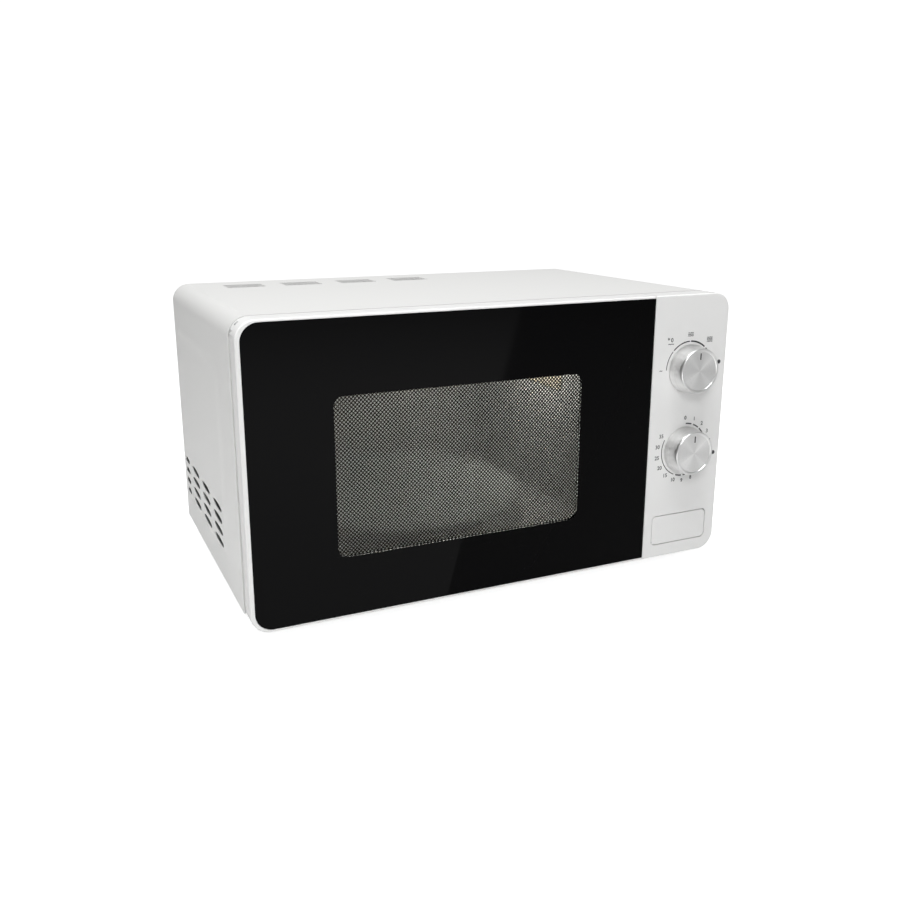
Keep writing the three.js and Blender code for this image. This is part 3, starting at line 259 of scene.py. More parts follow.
def rounded_slab(name, low, high, axis, radii, segments=CORNER_SEGMENTS):
    """A box whose edges along one axis are rounded: low left, low right, high right, high left."""
    obj = block(name, low, high)
    run = "xyz".index(axis)
    a, b = [n for n in range(3) if n != run]
    corners = ((low[a], low[b]), (high[a], low[b]), (high[a], high[b]), (low[a], high[b]))
    for (ca, cb), radius in zip(corners, radii):
        if radius <= 0:
            continue

        def at_corner(mid, way):
            return abs(way[run]) > 0.99 and abs(mid[a] - ca) < NEAR and abs(mid[b] - cb) < NEAR

        pick_edges(obj, at_corner)
        bevel(radius, segments)
    return obj


def outline_slab(name, points, axis, low, high):
    """A slab with a drawn outline, given as pairs in the plane across one axis."""
    deselect_all()
    bpy.ops.mesh.primitive_circle_add(vertices=len(points), radius=MM, fill_type="NGON")
    obj = named(name)
    run = "xyz".index(axis)
    a, b = [n for n in range(3) if n != run]
    for vert, (pa, pb) in zip(obj.data.vertices, points):
        spot = [0.0, 0.0, 0.0]
        spot[run], spot[a], spot[b] = low, pa, pb
        vert.co = spot
    edit(obj, "FACE")
    pick_all()
    push = [0.0, 0.0, 0.0]
    push[run] = high - low
    bpy.ops.mesh.extrude_region_move(TRANSFORM_OT_translate={"value": push})
    pick_all()
    bpy.ops.mesh.normals_make_consistent(inside=False)
    done()
    return obj


def turned(name, profile, centre, axis, steps=96, angle=2 * pi, start=0.0):
    """A closed profile of (radius, height) spun about an axis through a centre."""
    deselect_all()
    whole = angle > 2 * pi - NEAR
    fill = "NOTHING" if whole else "NGON"
    bpy.ops.mesh.primitive_circle_add(vertices=len(profile), radius=MM, fill_type=fill)
    obj = named(name)
    for vert, (radius, height) in zip(obj.data.vertices, profile):
        out, over = radius * cos(start), radius * sin(start)
        vert.co = centre + Vector((over, height, out) if axis == "y" else (out, over, height))
    edit(obj, "VERT")
    pick_all()
    way = [0.0, 0.0, 0.0]
    way["xyz".index(axis)] = 1.0
    bpy.ops.mesh.spin(steps=steps, angle=angle, center=centre, axis=way)
    pick_all()
    bpy.ops.mesh.remove_doubles(threshold=NEAR)
    if not whole:
        bpy.ops.mesh.select_all(action="DESELECT")
        bpy.ops.mesh.select_non_manifold()
        bpy.ops.mesh.edge_face_add()
        pick_all()
    bpy.ops.mesh.normals_make_consistent(inside=False)
    done()
    return obj


def modify(obj, kind, **values):
    """Adds a modifier with the given settings, and applies it."""
    begin(obj)
    bpy.ops.object.modifier_add(type=kind)
    modifier = obj.modifiers[-1]
    for key, value in values.items():
        setattr(modifier, key, value)
    bpy.ops.object.modifier_apply(modifier=modifier.name)


def rod(name, radius, low, high, centre, axis, steps):
    """A round bar along an axis, between two heights."""
    return turned(name, [(0, low), (radius, low), (radius, high), (0, high)], centre, axis, steps)


def combine(obj, others, operation="DIFFERENCE"):
    """Cuts or joins closed solids, one after another."""
    for other in others:
        modify(obj, "BOOLEAN", operation=operation, solver="EXACT", object=other)
        bpy.data.objects.remove(other, do_unlink=True)
    return obj


def join(name, parts):
    """Puts separate meshes into one object."""
    deselect_all()
    for part in parts:
        part.select_set(True)
    bpy.context.view_layer.objects.active = parts[0]
    if len(parts) > 1:
        bpy.ops.object.join()
    return named(name)


def settle(obj, body, finish, nodes=(), angle=32):
    """Gives a finished piece its shading, its material, the body it rides on and the nodes it stands for.
    Faces that meet at less than the angle are shaded as one; without an angle every face is flat."""
    begin(obj)
    if angle is None:
        bpy.ops.object.shade_flat()
    else:
        bpy.ops.object.shade_smooth_by_angle(angle=radians(angle))
        modify(obj, "WEIGHTED_NORMAL", keep_sharp=True)
    obj.data.materials.clear()
    obj.data.materials.append(bpy.data.materials[finish])
    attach(obj, body)
    if nodes:
        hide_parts(*nodes)


# ---------------------------------------------------------------- shader groups


def new_group(name, inputs, outputs):
    group = bpy.data.node_groups.new(name, "ShaderNodeTree")
    for socket, kind, value in inputs:
        made = group.interface.new_socket(socket, in_out="INPUT", socket_type=kind)
        if value is not None:
            made.default_value = value
    for socket, kind in outputs:
        group.interface.new_socket(socket, in_out="OUTPUT", socket_type=kind)
    return group, group.nodes.new("NodeGroupInput"), group.nodes.new("NodeGroupOutput")


def node(tree, kind, **values):
    made = tree.nodes.new(kind)
    for key, value in values.items():
        setattr(made, key, value)
    return made


def wire(tree, source, target):
    tree.links.new(source, target)


def math_node(tree, operation, a, b=None, clamp=False):
    made = node(tree, "ShaderNodeMath", operation=operation, use_clamp=clamp)
    for socket, value in zip(made.inputs, (a, b)):
        if value is None:
            continue
        if isinstance(value, (int, float)):
            socket.default_value = value
        else:
            wire(tree, value, socket)
    return made.outputs[0]


def times(tree, a, b, clamp=False):
    return math_node(tree, "MULTIPLY", a, b, clamp)


def plus(tree, a, b):
    return math_node(tree, "ADD", a, b)


def power(tree, a, b):
    return math_node(tree, "POWER", a, b)


def parts_of(tree, vector):
    """The components of a vector or a colour."""
    split = node(tree, "ShaderNodeSeparateXYZ")
    wire(tree, vector, split.inputs[0])
    return split.outputs


def made_of(tree, x, y):
    made = node(tree, "ShaderNodeCombineXYZ")
    wire(tree, x, made.inputs["X"])
    wire(tree, y, made.inputs["Y"])
    return made.outputs[0]


def spread(tree, value, low, high, to_low, to_high):
    """Maps a range of a value onto another range."""
    made = node(tree, "ShaderNodeMapRange")
    wire(tree, value, made.inputs["Value"])
    for socket, number in zip(("From Min", "From Max", "To Min", "To Max"), (low, high, to_low, to_high)):
        made.inputs[socket].default_value = number
    return made.outputs["Result"]


def noise(tree, vector, scale, detail=2.0, roughness=0.5):
    made = node(tree, "ShaderNodeTexNoise")
    wire(tree, vector, made.inputs["Vector"])
    if isinstance(scale, (int, float)):
        made.inputs["Scale"].default_value = scale
    else:
        wire(tree, scale, made.inputs["Scale"])
    made.inputs["Detail"].default_value = detail
    made.inputs["Roughness"].default_value = roughness
    return made.outputs["Fac"]


def grain_group():
    """Fine moulded or sprayed grain: a height, and a slow mottle for colour and gloss."""
    group, given, out = new_group(
        "surface_grain",
        [("Vector", "NodeSocketVector", None), ("Grain Scale", "NodeSocketFloat", 900.0),
         ("Mottle Scale", "NodeSocketFloat", 14.0)],
        [("Height", "NodeSocketFloat"), ("Mottle", "NodeSocketFloat")])
    fine = noise(group, given.outputs["Vector"], given.outputs["Grain Scale"], 1.0, 0.5)
    mottle = noise(group, given.outputs["Vector"], given.outputs["Mottle Scale"], 2.0, 0.55)
    wire(group, fine, out.inputs["Height"])
    wire(group, mottle, out.inputs["Mottle"])


def mask_group(name, scale, amount):
    return new_group(
        name,
        [("Vector", "NodeSocketVector", None), ("Scale", "NodeSocketFloat", scale),
         ("Amount", "NodeSocketFloat", amount)],
        [("Mask", "NodeSocketFloat")])


def break_up(group, given, out, where, roughness, low, high):
    """Breaks a mask up by a soft cloud, and hands it out times the amount."""
    cloud = noise(group, given.outputs["Vector"], given.outputs["Scale"], 2.0, roughness)
    cloud = spread(group, cloud, low, high, 0.0, 1.0)
    mask = times(group, times(group, where, cloud), given.outputs["Amount"], True)
    wire(group, mask, out.inputs["Mask"])


def dust_group():
    """Dust that settles on faces that look up, broken up by a soft cloud."""
    group, given, out = mask_group("settled_dust", 30.0, 0.1)
    normal = node(group, "ShaderNodeNewGeometry").outputs["Normal"]
    upward = spread(group, parts_of(group, normal)["Z"], 0.2, 1.0, 0.0, 1.0)
    break_up(group, given, out, upward, 0.65, 0.4, 0.75)


def wear_group():
    """Rubbed edges: picks out convex edges and breaks them up."""
    group, given, out = mask_group("rubbed_edges", 120.0, 0.3)
    sharpness = node(group, "ShaderNodeNewGeometry").outputs["Pointiness"]
    edge = spread(group, sharpness, 0.52, 0.62, 0.0, 1.0)
    break_up(group, given, out, edge, 0.6, 0.42, 0.66)


def brushing_group():
    """Long fine scratches along one direction of the given vector."""
    group, given, out = new_group(
        "brushing",
        [("Vector", "NodeSocketVector", None), ("Scale", "NodeSocketFloat", 60.0),
         ("Stretch", "NodeSocketVector", (1, 1, 40))],
        [("Tone", "NodeSocketFloat"), ("Height", "NodeSocketFloat")])
    stretched = node(group, "ShaderNodeVectorMath", operation="MULTIPLY")
    wire(group, given.outputs["Vector"], stretched.inputs[0])
    wire(group, given.outputs["Stretch"], stretched.inputs[1])
    coarse = noise(group, stretched.outputs[0], given.outputs["Scale"], 3.0, 0.7)
    wire(group, spread(group, coarse, 0.3, 0.7, 0.0, 1.0), out.inputs["Tone"])
    wire(group, coarse, out.inputs["Height"])


class Surface:
    """A material with its Principled shader, its object coordinates and helpers to feed it."""

    def __init__(self, name, base, rough, metallic=0.0, centre=None):
        self.material = bpy.data.materials.new(name)
        self.material.use_nodes = True
        self.material.diffuse_color = (*base, 1.0)
        self.tree = self.material.node_tree
        self.shader = self.tree.nodes["Principled BSDF"]
        self.shader.inputs["Base Color"].default_value = (*base, 1.0)
        self.shader.inputs["Roughness"].default_value = rough
        self.shader.inputs["Metallic"].default_value = metallic
        self.base, self.rough = base, rough
        place = node(self.tree, "ShaderNodeTexCoord").outputs["Object"]
        if centre is not None:
            mapping = node(self.tree, "ShaderNodeMapping")
            wire(self.tree, place, mapping.inputs["Vector"])
            mapping.inputs["Location"].default_value = -centre
            place = mapping.outputs["Vector"]
        self.place = place
        self.colour = None

    def group(self, name, **values):
        made = node(self.tree, "ShaderNodeGroup", node_tree=bpy.data.node_groups[name])
        wire(self.tree, self.place, made.inputs["Vector"])
        for key, value in values.items():
            made.inputs[key.replace("_", " ").title()].default_value = value
        return made

    def tint(self, mask, other):
        """Blends another colour over the base by a mask."""
        mix = node(self.tree, "ShaderNodeMix", data_type="RGBA")
        wire(self.tree, mask, mix.inputs["Factor"])
        if self.colour is None:
            mix.inputs["A"].default_value = (*self.base, 1.0)
        else:
            wire(self.tree, self.colour, mix.inputs["A"])
        mix.inputs["B"].default_value = (*other, 1.0)
        self.colour = mix.outputs["Result"]
        wire(self.tree, self.colour, self.shader.inputs["Base Color"])
        return self

    def gloss(self, value, low, high, swing):
        wire(self.tree, spread(self.tree, value, low, high, self.rough - swing, self.rough + swing),
             self.shader.inputs["Roughness"])
        return self

    def bump(self, height, distance):
        made = node(self.tree, "ShaderNodeBump")
        made.inputs["Strength"].default_value = 1.0
        made.inputs["Distance"].default_value = distance
        wire(self.tree, height, made.inputs["Height"])
        wire(self.tree, made.outputs["Normal"], self.shader.inputs["Normal"])
        return self

    def glow(self, value, low, high, to_low, to_high):
        self.set(Emission_Color=(1, 1, 1, 1))
        wire(self.tree, spread(self.tree, value, low, high, to_low, to_high),
             self.shader.inputs["Emission Strength"])

    def set(self, **values):
        for key, value in values.items():
            self.shader.inputs[key.replace("_", " ")].default_value = value
        return self


def shade(base, factor):
    return tuple(min(1.0, channel * factor) for channel in base)


def moulded(name, base, rough, grain, depth, dust=0.06, wear=0.25):
    surface = Surface(name, base, rough)
    texture = surface.group("surface_grain", Grain_Scale=grain, Mottle_Scale=16.0)
    surface.tint(spread(surface.tree, texture.outputs["Mottle"], 0.35, 0.7, 0.0, 0.5), shade(base, 0.955))
    surface.tint(surface.group("rubbed_edges", Amount=wear).outputs["Mask"], shade(base, 1.12))
    surface.tint(surface.group("settled_dust", Amount=dust).outputs["Mask"], (0.62, 0.60, 0.56))
    surface.gloss(texture.outputs["Mottle"], 0.3, 0.7, 0.04)
    return surface.bump(texture.outputs["Height"], depth)


def painted(name, base, rough, peel, depth, dust=0.05):
    surface = Surface(name, base, rough)
    texture = surface.group("surface_grain", Grain_Scale=peel, Mottle_Scale=9.0)
    surface.tint(spread(surface.tree, texture.outputs["Mottle"], 0.35, 0.7, 0.0, 0.4), shade(base, 0.96))
    surface.tint(surface.group("rubbed_edges", Amount=0.2, Scale=160.0).outputs["Mask"], shade(base, 0.9))
    surface.tint(surface.group("settled_dust", Amount=dust, Scale=22.0).outputs["Mask"], (0.58, 0.56, 0.52))
    surface.gloss(texture.outputs["Mottle"], 0.3, 0.7, 0.05)
    return surface.bump(texture.outputs["Height"], depth)


def metal(name, base, rough, stretch, scale=70.0, spangle=0.0):
    """Brushed metal, or metal with the crystals of zinc where a spangle is given."""
    surface = Surface(name, base, rough, 1.0)
    lines = surface.group("brushing", Scale=scale, Stretch=stretch)
    surface.tint(times(surface.tree, lines.outputs["Tone"], 0.35), shade(base, 0.72))
    if spangle:
        cells = node(surface.tree, "ShaderNodeTexVoronoi")
        wire(surface.tree, surface.place, cells.inputs["Vector"])
        cells.inputs["Scale"].default_value = spangle
        tone = parts_of(surface.tree, cells.outputs["Color"])["X"]
        surface.tint(times(surface.tree, tone, 0.3), shade(base, 1.25))
    surface.tint(surface.group("rubbed_edges", Amount=0.4).outputs["Mask"], shade(base, 1.3))
    surface.tint(surface.group("settled_dust", Amount=0.12).outputs["Mask"], (0.42, 0.40, 0.37))
    surface.gloss(lines.outputs["Tone"], 0.0, 1.0, 0.08)
    return surface.bump(lines.outputs["Height"], 0.00002)


# Refractive index of a surface with an anti-reflection coat.
COATED = 1.13


def glazing(name, base, rough, index):
    surface = Surface(name, base, rough)
    smears = surface.group("surface_grain", Grain_Scale=60.0, Mottle_Scale=22.0)
    surface.gloss(smears.outputs["Mottle"], 0.45, 0.75, 0.012)
    return surface.set(Transmission_Weight=1.0, IOR=index)


def turned_silver_with_painted_highlight(name, base, centre):
    """Silver that is brushed in circles about a dial's axis, with painted highlight wedges blended into its
    colour.
    """
    surface = Surface(name, base, 0.34, 1.0, centre)
    tree = surface.tree
    place = parts_of(tree, surface.place)
    x, z = place["X"], place["Z"]
    radius = math_node(tree, "SQRT", plus(tree, times(tree, x, x), times(tree, z, z)))
    turn = math_node(tree, "ARCTAN2", z, x)
    rings = made_of(tree, times(tree, radius, 5200.0), times(tree, turn, 0.9))
    grooves = noise(tree, rings, 1.0, 3.0, 0.6)
    rays = made_of(tree, math_node(tree, "COSINE", turn), math_node(tree, "SINE", turn))
    streaks = noise(tree, rays, 5.0, 4.0, 0.7)
    # Painted highlight: two broad bright wedges along one slanting line, and two narrow weak ones across it,
    # painted into the base colour.
    off_wedge = math_node(tree, "SUBTRACT", turn, radians(42))
    lean = math_node(tree, "COSINE", times(tree, off_wedge, 2.0))
    broad = power(tree, times(tree, plus(tree, lean, 1.0), 0.5), 5.0)
    cross = power(tree, times(tree, math_node(tree, "SUBTRACT", 1.0, lean), 0.5), 12.0)
    light = plus(tree, times(tree, broad, 0.8), times(tree, cross, 0.4))
    light = times(tree, light, spread(tree, streaks, 0.3, 0.7, 0.6, 1.2), True)
    # The painted highlight wedges are blended over the silver's colour here.
    surface.tint(light, (0.97, 0.97, 0.965))
    surface.tint(spread(tree, grooves, 0.4, 0.7, 0.0, 0.2), shade(base, 0.7))
    surface.gloss(grooves, 0.3, 0.7, 0.07)
    return surface.bump(grooves, 0.000012)


MATERIAL_OF_SLOT = {
    "white_moulding": "white_moulding", "white_paint": "white_paint", "cavity_paint": "cavity_enamel",
    "zinc_steel": "zinc_steel", "silver_dial": "plain_silver", "black_glass": "black_print",
    "clear_glass": "clear_glass", "black_paint": "black_screen_paint", "black_plastic": "black_phenolic",
    "grey_plastic": "grey_polypropylene", "natural_plastic": "natural_nylon", "mica": "mica_board",
    "core_steel": "varnished_core", "copper": "enamelled_copper", "aluminium": "plain_aluminium",
    "rubber": "black_rubber", "circuit_board": "phenolic_board",
}


def build_finishes(scene):
    grain_group()
    dust_group()
    wear_group()
    brushing_group()
    cabinet, door, panel, dial = scene.oven_cabinet, scene.oven_door, scene.oven_panel, scene.oven_dial
    moulded("white_moulding", tuple(door.moulding), 0.42, 1400.0, 0.00002)
    painted("white_paint", tuple(cabinet.paint), 0.40, 700.0, 0.00003)
    painted("cavity_enamel", (0.56, 0.56, 0.54), 0.38, 500.0, 0.00004, dust=0.02)
    matt = painted("black_screen_paint", (0.012, 0.012, 0.012), 0.55, 1200.0, 0.00001, dust=0.0)
    matt.set(IOR=1.22)
    metal("zinc_steel", (0.60, 0.62, 0.63), 0.36, (1, 1, 1), 40.0, spangle=110.0)
    metal("plain_silver", tuple(dial.silver), 0.30, (1, 30, 1))
    metal("plain_aluminium", (0.72, 0.73, 0.74), 0.30, (1, 1, 30))
    metal("varnished_core", (0.11, 0.12, 0.13), 0.45, (1, 60, 1), 90.0)
    metal("enamelled_copper", (0.62, 0.28, 0.12), 0.30, (1, 90, 90), 60.0)
    moulded("black_phenolic", (0.025, 0.025, 0.025), 0.45, 900.0, 0.00002)
    moulded("grey_polypropylene", (0.30, 0.31, 0.32), 0.5, 1100.0, 0.00002)
    moulded("natural_nylon", (0.56, 0.50, 0.42), 0.48, 900.0, 0.00002)
    moulded("black_rubber", (0.022, 0.022, 0.022), 0.75, 600.0, 0.00004, dust=0.2)
    moulded("phenolic_board", (0.44, 0.31, 0.13), 0.5, 500.0, 0.00002)
    mica = moulded("mica_board", (0.50, 0.43, 0.31), 0.42, 260.0, 0.00005)
    flakes = mica.group("brushing", Scale=30.0, Stretch=(1, 6, 6))
    mica.tint(times(mica.tree, flakes.outputs["Tone"], 0.4), (0.66, 0.60, 0.48))
    moulded("printing_ink", tuple(panel.ink), 0.5, 1500.0, 0.00001, dust=0.0, wear=0.0)
    glazing("clear_glass", (0.97, 0.985, 0.98), 0.015, 1.5)
    glazing("window_glass", (0.90, 0.91, 0.91), 0.012, COATED)
    sheen = moulded("black_print", (0.0015, 0.0015, 0.0017), 0.05, 40.0, 0.000002, dust=0.02, wear=0.0)
    smears = sheen.group("surface_grain", Mottle_Scale=10.0)
    sheen.gloss(smears.outputs["Mottle"], 0.3, 0.7, 0.01).set(IOR=COATED)
    turned_silver_with_painted_highlight("power_dial_silver", tuple(dial.silver), middle("power_knob"))
    turned_silver_with_painted_highlight("timer_dial_silver", tuple(dial.silver), middle("timer_knob"))
    slots = {part["node"]: part["material_slot"] for part in frame["record"]["subparts"]}
    for name, cad in frame["nodes"].items():
        finish = bpy.data.materials[MATERIAL_OF_SLOT[slots[name]]]
        if not cad.material_slots:
            cad.data.materials.append(finish)
        for slot in cad.material_slots:
            slot.material = finish


# ---------------------------------------------------------------- cabinet


# Places are in millimetres from the face's lower left corner. Louvres and vents stand four by four.
GRID = range(4)
LOUVRE_START, LOUVRE_STEP = (81.0, 46.0), (51.5, 10.5)
VENT_START, VENT_STEP = (43.0, 226.0), (56.5, 7.0)
VENT_LENGTH = 0.037
PRESS_FRONT, PRESS_BACK, PRESS_BELOW, PRESS_ABOVE = 62, 270, 33, 38.5
BASE_FLANGE = 12 * MM


def cabinet_solid(name, settings, inset, front, back):
    low = Vector((WRAP_LOW.x + settings.press_height + inset, front, WRAP_LOW.z + inset))
    high = Vector((WRAP_HIGH.x - settings.press_height - inset, back, WRAP_HIGH.z - inset))
    radius = settings.corner_radius - inset
    return rounded_slab(name, low, high, "y", (0, 0, radius, radius), 16)


def side_press(settings, side, inset):
    """The raised field in one side: a rounded plate whose outer face is inset and pushed out."""
    wall = WRAP_LOW.x + settings.press_height if side < 0 else WRAP_HIGH.x - settings.press_height
    wall -= side * inset
    root = wall - side * 2 * MM
    low = Vector((min(wall, root), FACE.y + PRESS_FRONT * MM, FACE.z + PRESS_BELOW * MM))
    high = Vector((max(wall, root), FACE.y + PRESS_BACK * MM, FACE.z + FACE_HEIGHT - PRESS_ABOVE * MM))
    plate = rounded_slab("press", low, high, "x", (settings.press_radius,) * 4, 12)
    pick_faces(plate, lambda mid, normal: normal.x * side > 0.99)
    press(settings.press_slope, settings.press_height)
    top = wall + side * settings.press_height
    pick_points(plate, lambda co: abs(co.x - top) < NEAR and co.y < FACE.y + 100 * MM)
    move((0, 5 * MM, 0))
    pick_edges(plate, lambda mid, way: abs(mid.x - top) < NEAR)
    bevel(2.5 * MM, 4)
    return plate


def leaf_cutter(settings, y, z):
    """A leaf-shaped bar through both sides, for one louvre."""
    half, reach = settings.louvre_height / 2, settings.louvre_length / 2
    outline = []
    steps = 10
    for step in range(2 * steps):
        turn = pi * step / steps
        height = half * (abs(sin(turn)) ** 0.8) * (1 if sin(turn) >= 0 else -1)
        outline.append((FACE.y + y * MM + reach + reach * cos(turn), FACE.z + z * MM + height))
    return outline_slab("leaf", outline, "x", WRAP_LOW.x - 5 * MM, WRAP_HIGH.x + 5 * MM)


class OVEN_OT_cabinet(Operator):
    """Build the painted cabinet with its pressed sides, louvres and top vents"""

    bl_idname = "oven.cabinet"
    bl_label = "Cabinet"

    def execute(self, context):
        settings = context.scene.oven_cabinet
        front, back = WRAP_LOW.y, WRAP_HIGH.y
        shell = cabinet_solid("cabinet_shell", settings, 0.0, front, back)
        combine(shell, [side_press(settings, side, 0.0) for side in (-1, 1)], "UNION")
        hollow = cabinet_solid("hollow", settings, settings.sheet, front - 5 * MM, back + 5 * MM)
        combine(hollow, [side_press(settings, side, settings.sheet) for side in (-1, 1)], "UNION")
        gap = block("gap", Vector((WRAP_LOW.x + BASE_FLANGE, front - 5 * MM, WRAP_LOW.z - 5 * MM)),
                    Vector((WRAP_HIGH.x - BASE_FLANGE, back + 5 * MM, WRAP_LOW.z + 5 * MM)))
        combine(shell, [hollow, gap])
        for column in GRID:
            y = LOUVRE_START[0] + column * LOUVRE_STEP[0]
            heights = [LOUVRE_START[1] + row * LOUVRE_STEP[1] for row in GRID]
            combine(shell, [join("leaves", [leaf_cutter(settings, y, z) for z in heights])])
        for group in GRID:
            x = VENT_START[0] + group * VENT_STEP[0]
            cutters = []
            for row in GRID:
                low = at(x, VENT_START[1] + row * VENT_STEP[1], 0)
                low.z = WRAP_HIGH.z - 4 * MM
                high = low + Vector((VENT_LENGTH, settings.vent_width, 8 * MM))
                cutters.append(rounded_slab("slot", low, high, "z", (1.2 * MM,) * 4, 3))
            combine(shell, [join("slots", cutters)])
        settle(shell, "cabinet", "white_paint", ["cabinet_wrap"], 24)
        return {"FINISHED"}


# ---------------------------------------------------------------- rear


REAR_LOW, REAR_HIGH = span("rear_panel")
BULGE_MARGIN, BULGE_SLOPE, BULGE_RADIUS = 8.2 * MM, 6 * MM, 16 * MM
GROMMET_BORE, GROMMET_NECK, CORD_HOLE = 3.4 * MM, 7 * MM, 7.3 * MM
# The grille's measures and the screws' places are in millimetres.
GRILLE_RADIUS, GRILLE_STEP, GRILLE_HALF = 38, 8, 1.8
SCREW_PLACES = ((12, 52), (12, 196), (440, 30), (440, 214), (110, 238), (260, 238), (372, 238))


def rear_bulge(inset, front):
    """The deep pressing behind the oven's cavity, drawn in by a distance."""
    margin = BULGE_MARGIN - inset
    top = REAR_HIGH.y - inset
    shoulder = top - BULGE_SLOPE
    low = Vector((CAVITY_LOW.x - margin, front, CAVITY_LOW.z - margin))
    high = Vector((CAVITY_HIGH.x + margin, shoulder, CAVITY_HIGH.z + margin))
    dome = rounded_slab("bulge", low, high, "y", (BULGE_RADIUS,) * 4, 12)
    pick_faces(dome, lambda mid, normal: normal.y > 0.99)
    press(BULGE_SLOPE, BULGE_SLOPE)

    def round_top(mid, way):
        return abs(mid.y - top) < NEAR or abs(mid.y - shoulder) < NEAR and abs(way.y) < 0.1

    pick_edges(dome, round_top)
    bevel(1.8 * MM, 4)
    return dome


def screw(spot):
    """A dome-headed screw with a cross recess, facing back."""
    profile = [(0, -MM), (2 * MM, -MM), (2 * MM, 0.02 * MM), (3.6 * MM, 0.02 * MM), (3.7 * MM, 0.3 * MM),
               (3.5 * MM, 0.9 * MM), (2.8 * MM, 1.5 * MM), (1.6 * MM, 1.85 * MM), (0, 1.95 * MM)]
    head = turned("screw", profile, spot, "y", 28)
    bars = []
    for wide, tall in ((2.1, 0.4), (0.4, 2.1)):
        reach = Vector((wide * MM, 0, tall * MM))
        low, high = spot - reach + Vector((0, 1.1 * MM, 0)), spot + reach + Vector((0, 3 * MM, 0))
        bars.append(block("bar", low, high))
    return combine(head, bars)


class OVEN_OT_rear(Operator):
    """Build the pressed rear panel with its fan grille, its screws and the cord's grommet"""

    bl_idname = "oven.rear"
    bl_label = "Rear panel"

    def execute(self, context):
        settings = context.scene.oven_cabinet
        sheet = settings.sheet
        radius = settings.corner_radius - sheet
        front, back = REAR_LOW.y, REAR_LOW.y + sheet
        corner = Vector((REAR_HIGH.x, back, REAR_HIGH.z))
        plate = rounded_slab("rear_sheet", REAR_LOW, corner, "y", (0, 0, radius, radius))
        combine(plate, [rear_bulge(0.0, front + 0.2 * MM)], "UNION")
        combine(plate, [rear_bulge(sheet, front - 9 * MM)])
        hub = middle("fan_blade")
        slots = []
        for row in range(-4, 5):
            half = ((GRILLE_RADIUS * MM) ** 2 - (GRILLE_STEP * row * MM) ** 2) ** 0.5
            below, above = GRILLE_STEP * row - GRILLE_HALF, GRILLE_STEP * row + GRILLE_HALF
            low = Vector((hub.x - half, front - MM, hub.z + below * MM))
            high = Vector((hub.x + half, back + MM, hub.z + above * MM))
            slots.append(rounded_slab("slot", low, high, "y", (1.7 * MM,) * 4, 5))
        cord = middle("cord_grommet")
        bore = rod("bore", CORD_HOLE, -3 * MM, 3 * MM, Vector((cord.x, back, cord.z)), "y", 40)
        combine(plate, [join("slots", slots), bore])
        settle(plate, "cabinet", "zinc_steel", ["rear_panel"], 24)

        heads = [screw(Vector((at(x, 0, 0).x, back, at(0, 0, z).z))) for x, z in SCREW_PLACES]
        settle(join("rear_screws", heads), "cabinet", "plain_aluminium", [], 40)

        low, high = span("cord_grommet")
        flange = (high.x - low.x) / 2
        profile = [
            (GROMMET_BORE, low.y), (flange - MM, low.y), (flange - MM, front - 0.2 * MM),
            (GROMMET_NECK, front - 0.2 * MM), (GROMMET_NECK, back + 0.2 * MM), (flange, back + 0.2 * MM),
            (flange, high.y - 1.6 * MM), (flange - 0.7 * MM, high.y - 0.5 * MM), (flange - 2 * MM, high.y),
            (4.4 * MM, high.y), (GROMMET_BORE, high.y - MM),
        ]
        ring = turned("rubber_grommet", profile, Vector((cord.x, 0, cord.z)), "y", 56)
        settle(ring, "cabinet", "black_rubber", ["cord_grommet"])
        return {"FINISHED"}


# ---------------------------------------------------------------- door


def face_slab(name, left, right, low, high, front, back, left_radius=0.0, right_radius=0.0,
              segments=CORNER_SEGMENTS):
    """A slab in the plane of the face, all in metres from the face's lower left corner."""
    radii = (left_radius, right_radius, right_radius, left_radius)
    near, far = FACE + Vector((left, front, low)), FACE + Vector((right, back, high))
    return rounded_slab(name, near, far, "y", radii, segments)


def rim(obj, front, keep_clear, width):
    """Rounds the edge round the front of a moulding, except along its square side."""
    pick_edges(obj, lambda mid, way: abs(mid.y - front) < NEAR and abs(mid.x - keep_clear) > 0.5 * MM)
    bevel(width, 5)


HINGE = at(6, 16, 0)
HINGE_AXIS = Vector((HINGE.x, HINGE.y, 0))
TAB_THICKNESS, TAB_REACH, TAB_PLAY = 2 * MM, 22 * MM, 0.5 * MM
# The clear window: left, right, lower and upper edge, from the face's lower left corner.
WINDOW = (72.8 * MM, 295.6 * MM, 52.6 * MM, 185.0 * MM)


def window_slab(name, growth, front, back, radius):
    left, right, low, high = WINDOW
    return face_slab(name, left - growth, right + growth, low - growth, high + growth, front, back,
                     radius, radius)


def hinge_space(tab_low, tab_high):
    """The fan that one hinge tab sweeps inside the door."""
    start, end, steps = radians(-34), radians(158), 24
    points = [(HINGE.x, HINGE.y)]
    for step in range(steps + 1):
        turn = start + (end - start) * step / steps
        points.append((HINGE.x + TAB_REACH * cos(turn), HINGE.y + TAB_REACH * sin(turn)))
    fan = outline_slab("fan", points, "z", tab_low, tab_high)
    hub = rod("hub", 5 * MM, tab_low, tab_high, HINGE_AXIS, "z", 32)
    bore = rod("bore", 2.3 * MM, tab_low - 6 * MM, tab_high + 6 * MM, HINGE_AXIS, "z", 32)
    return [fan, hub, bore]


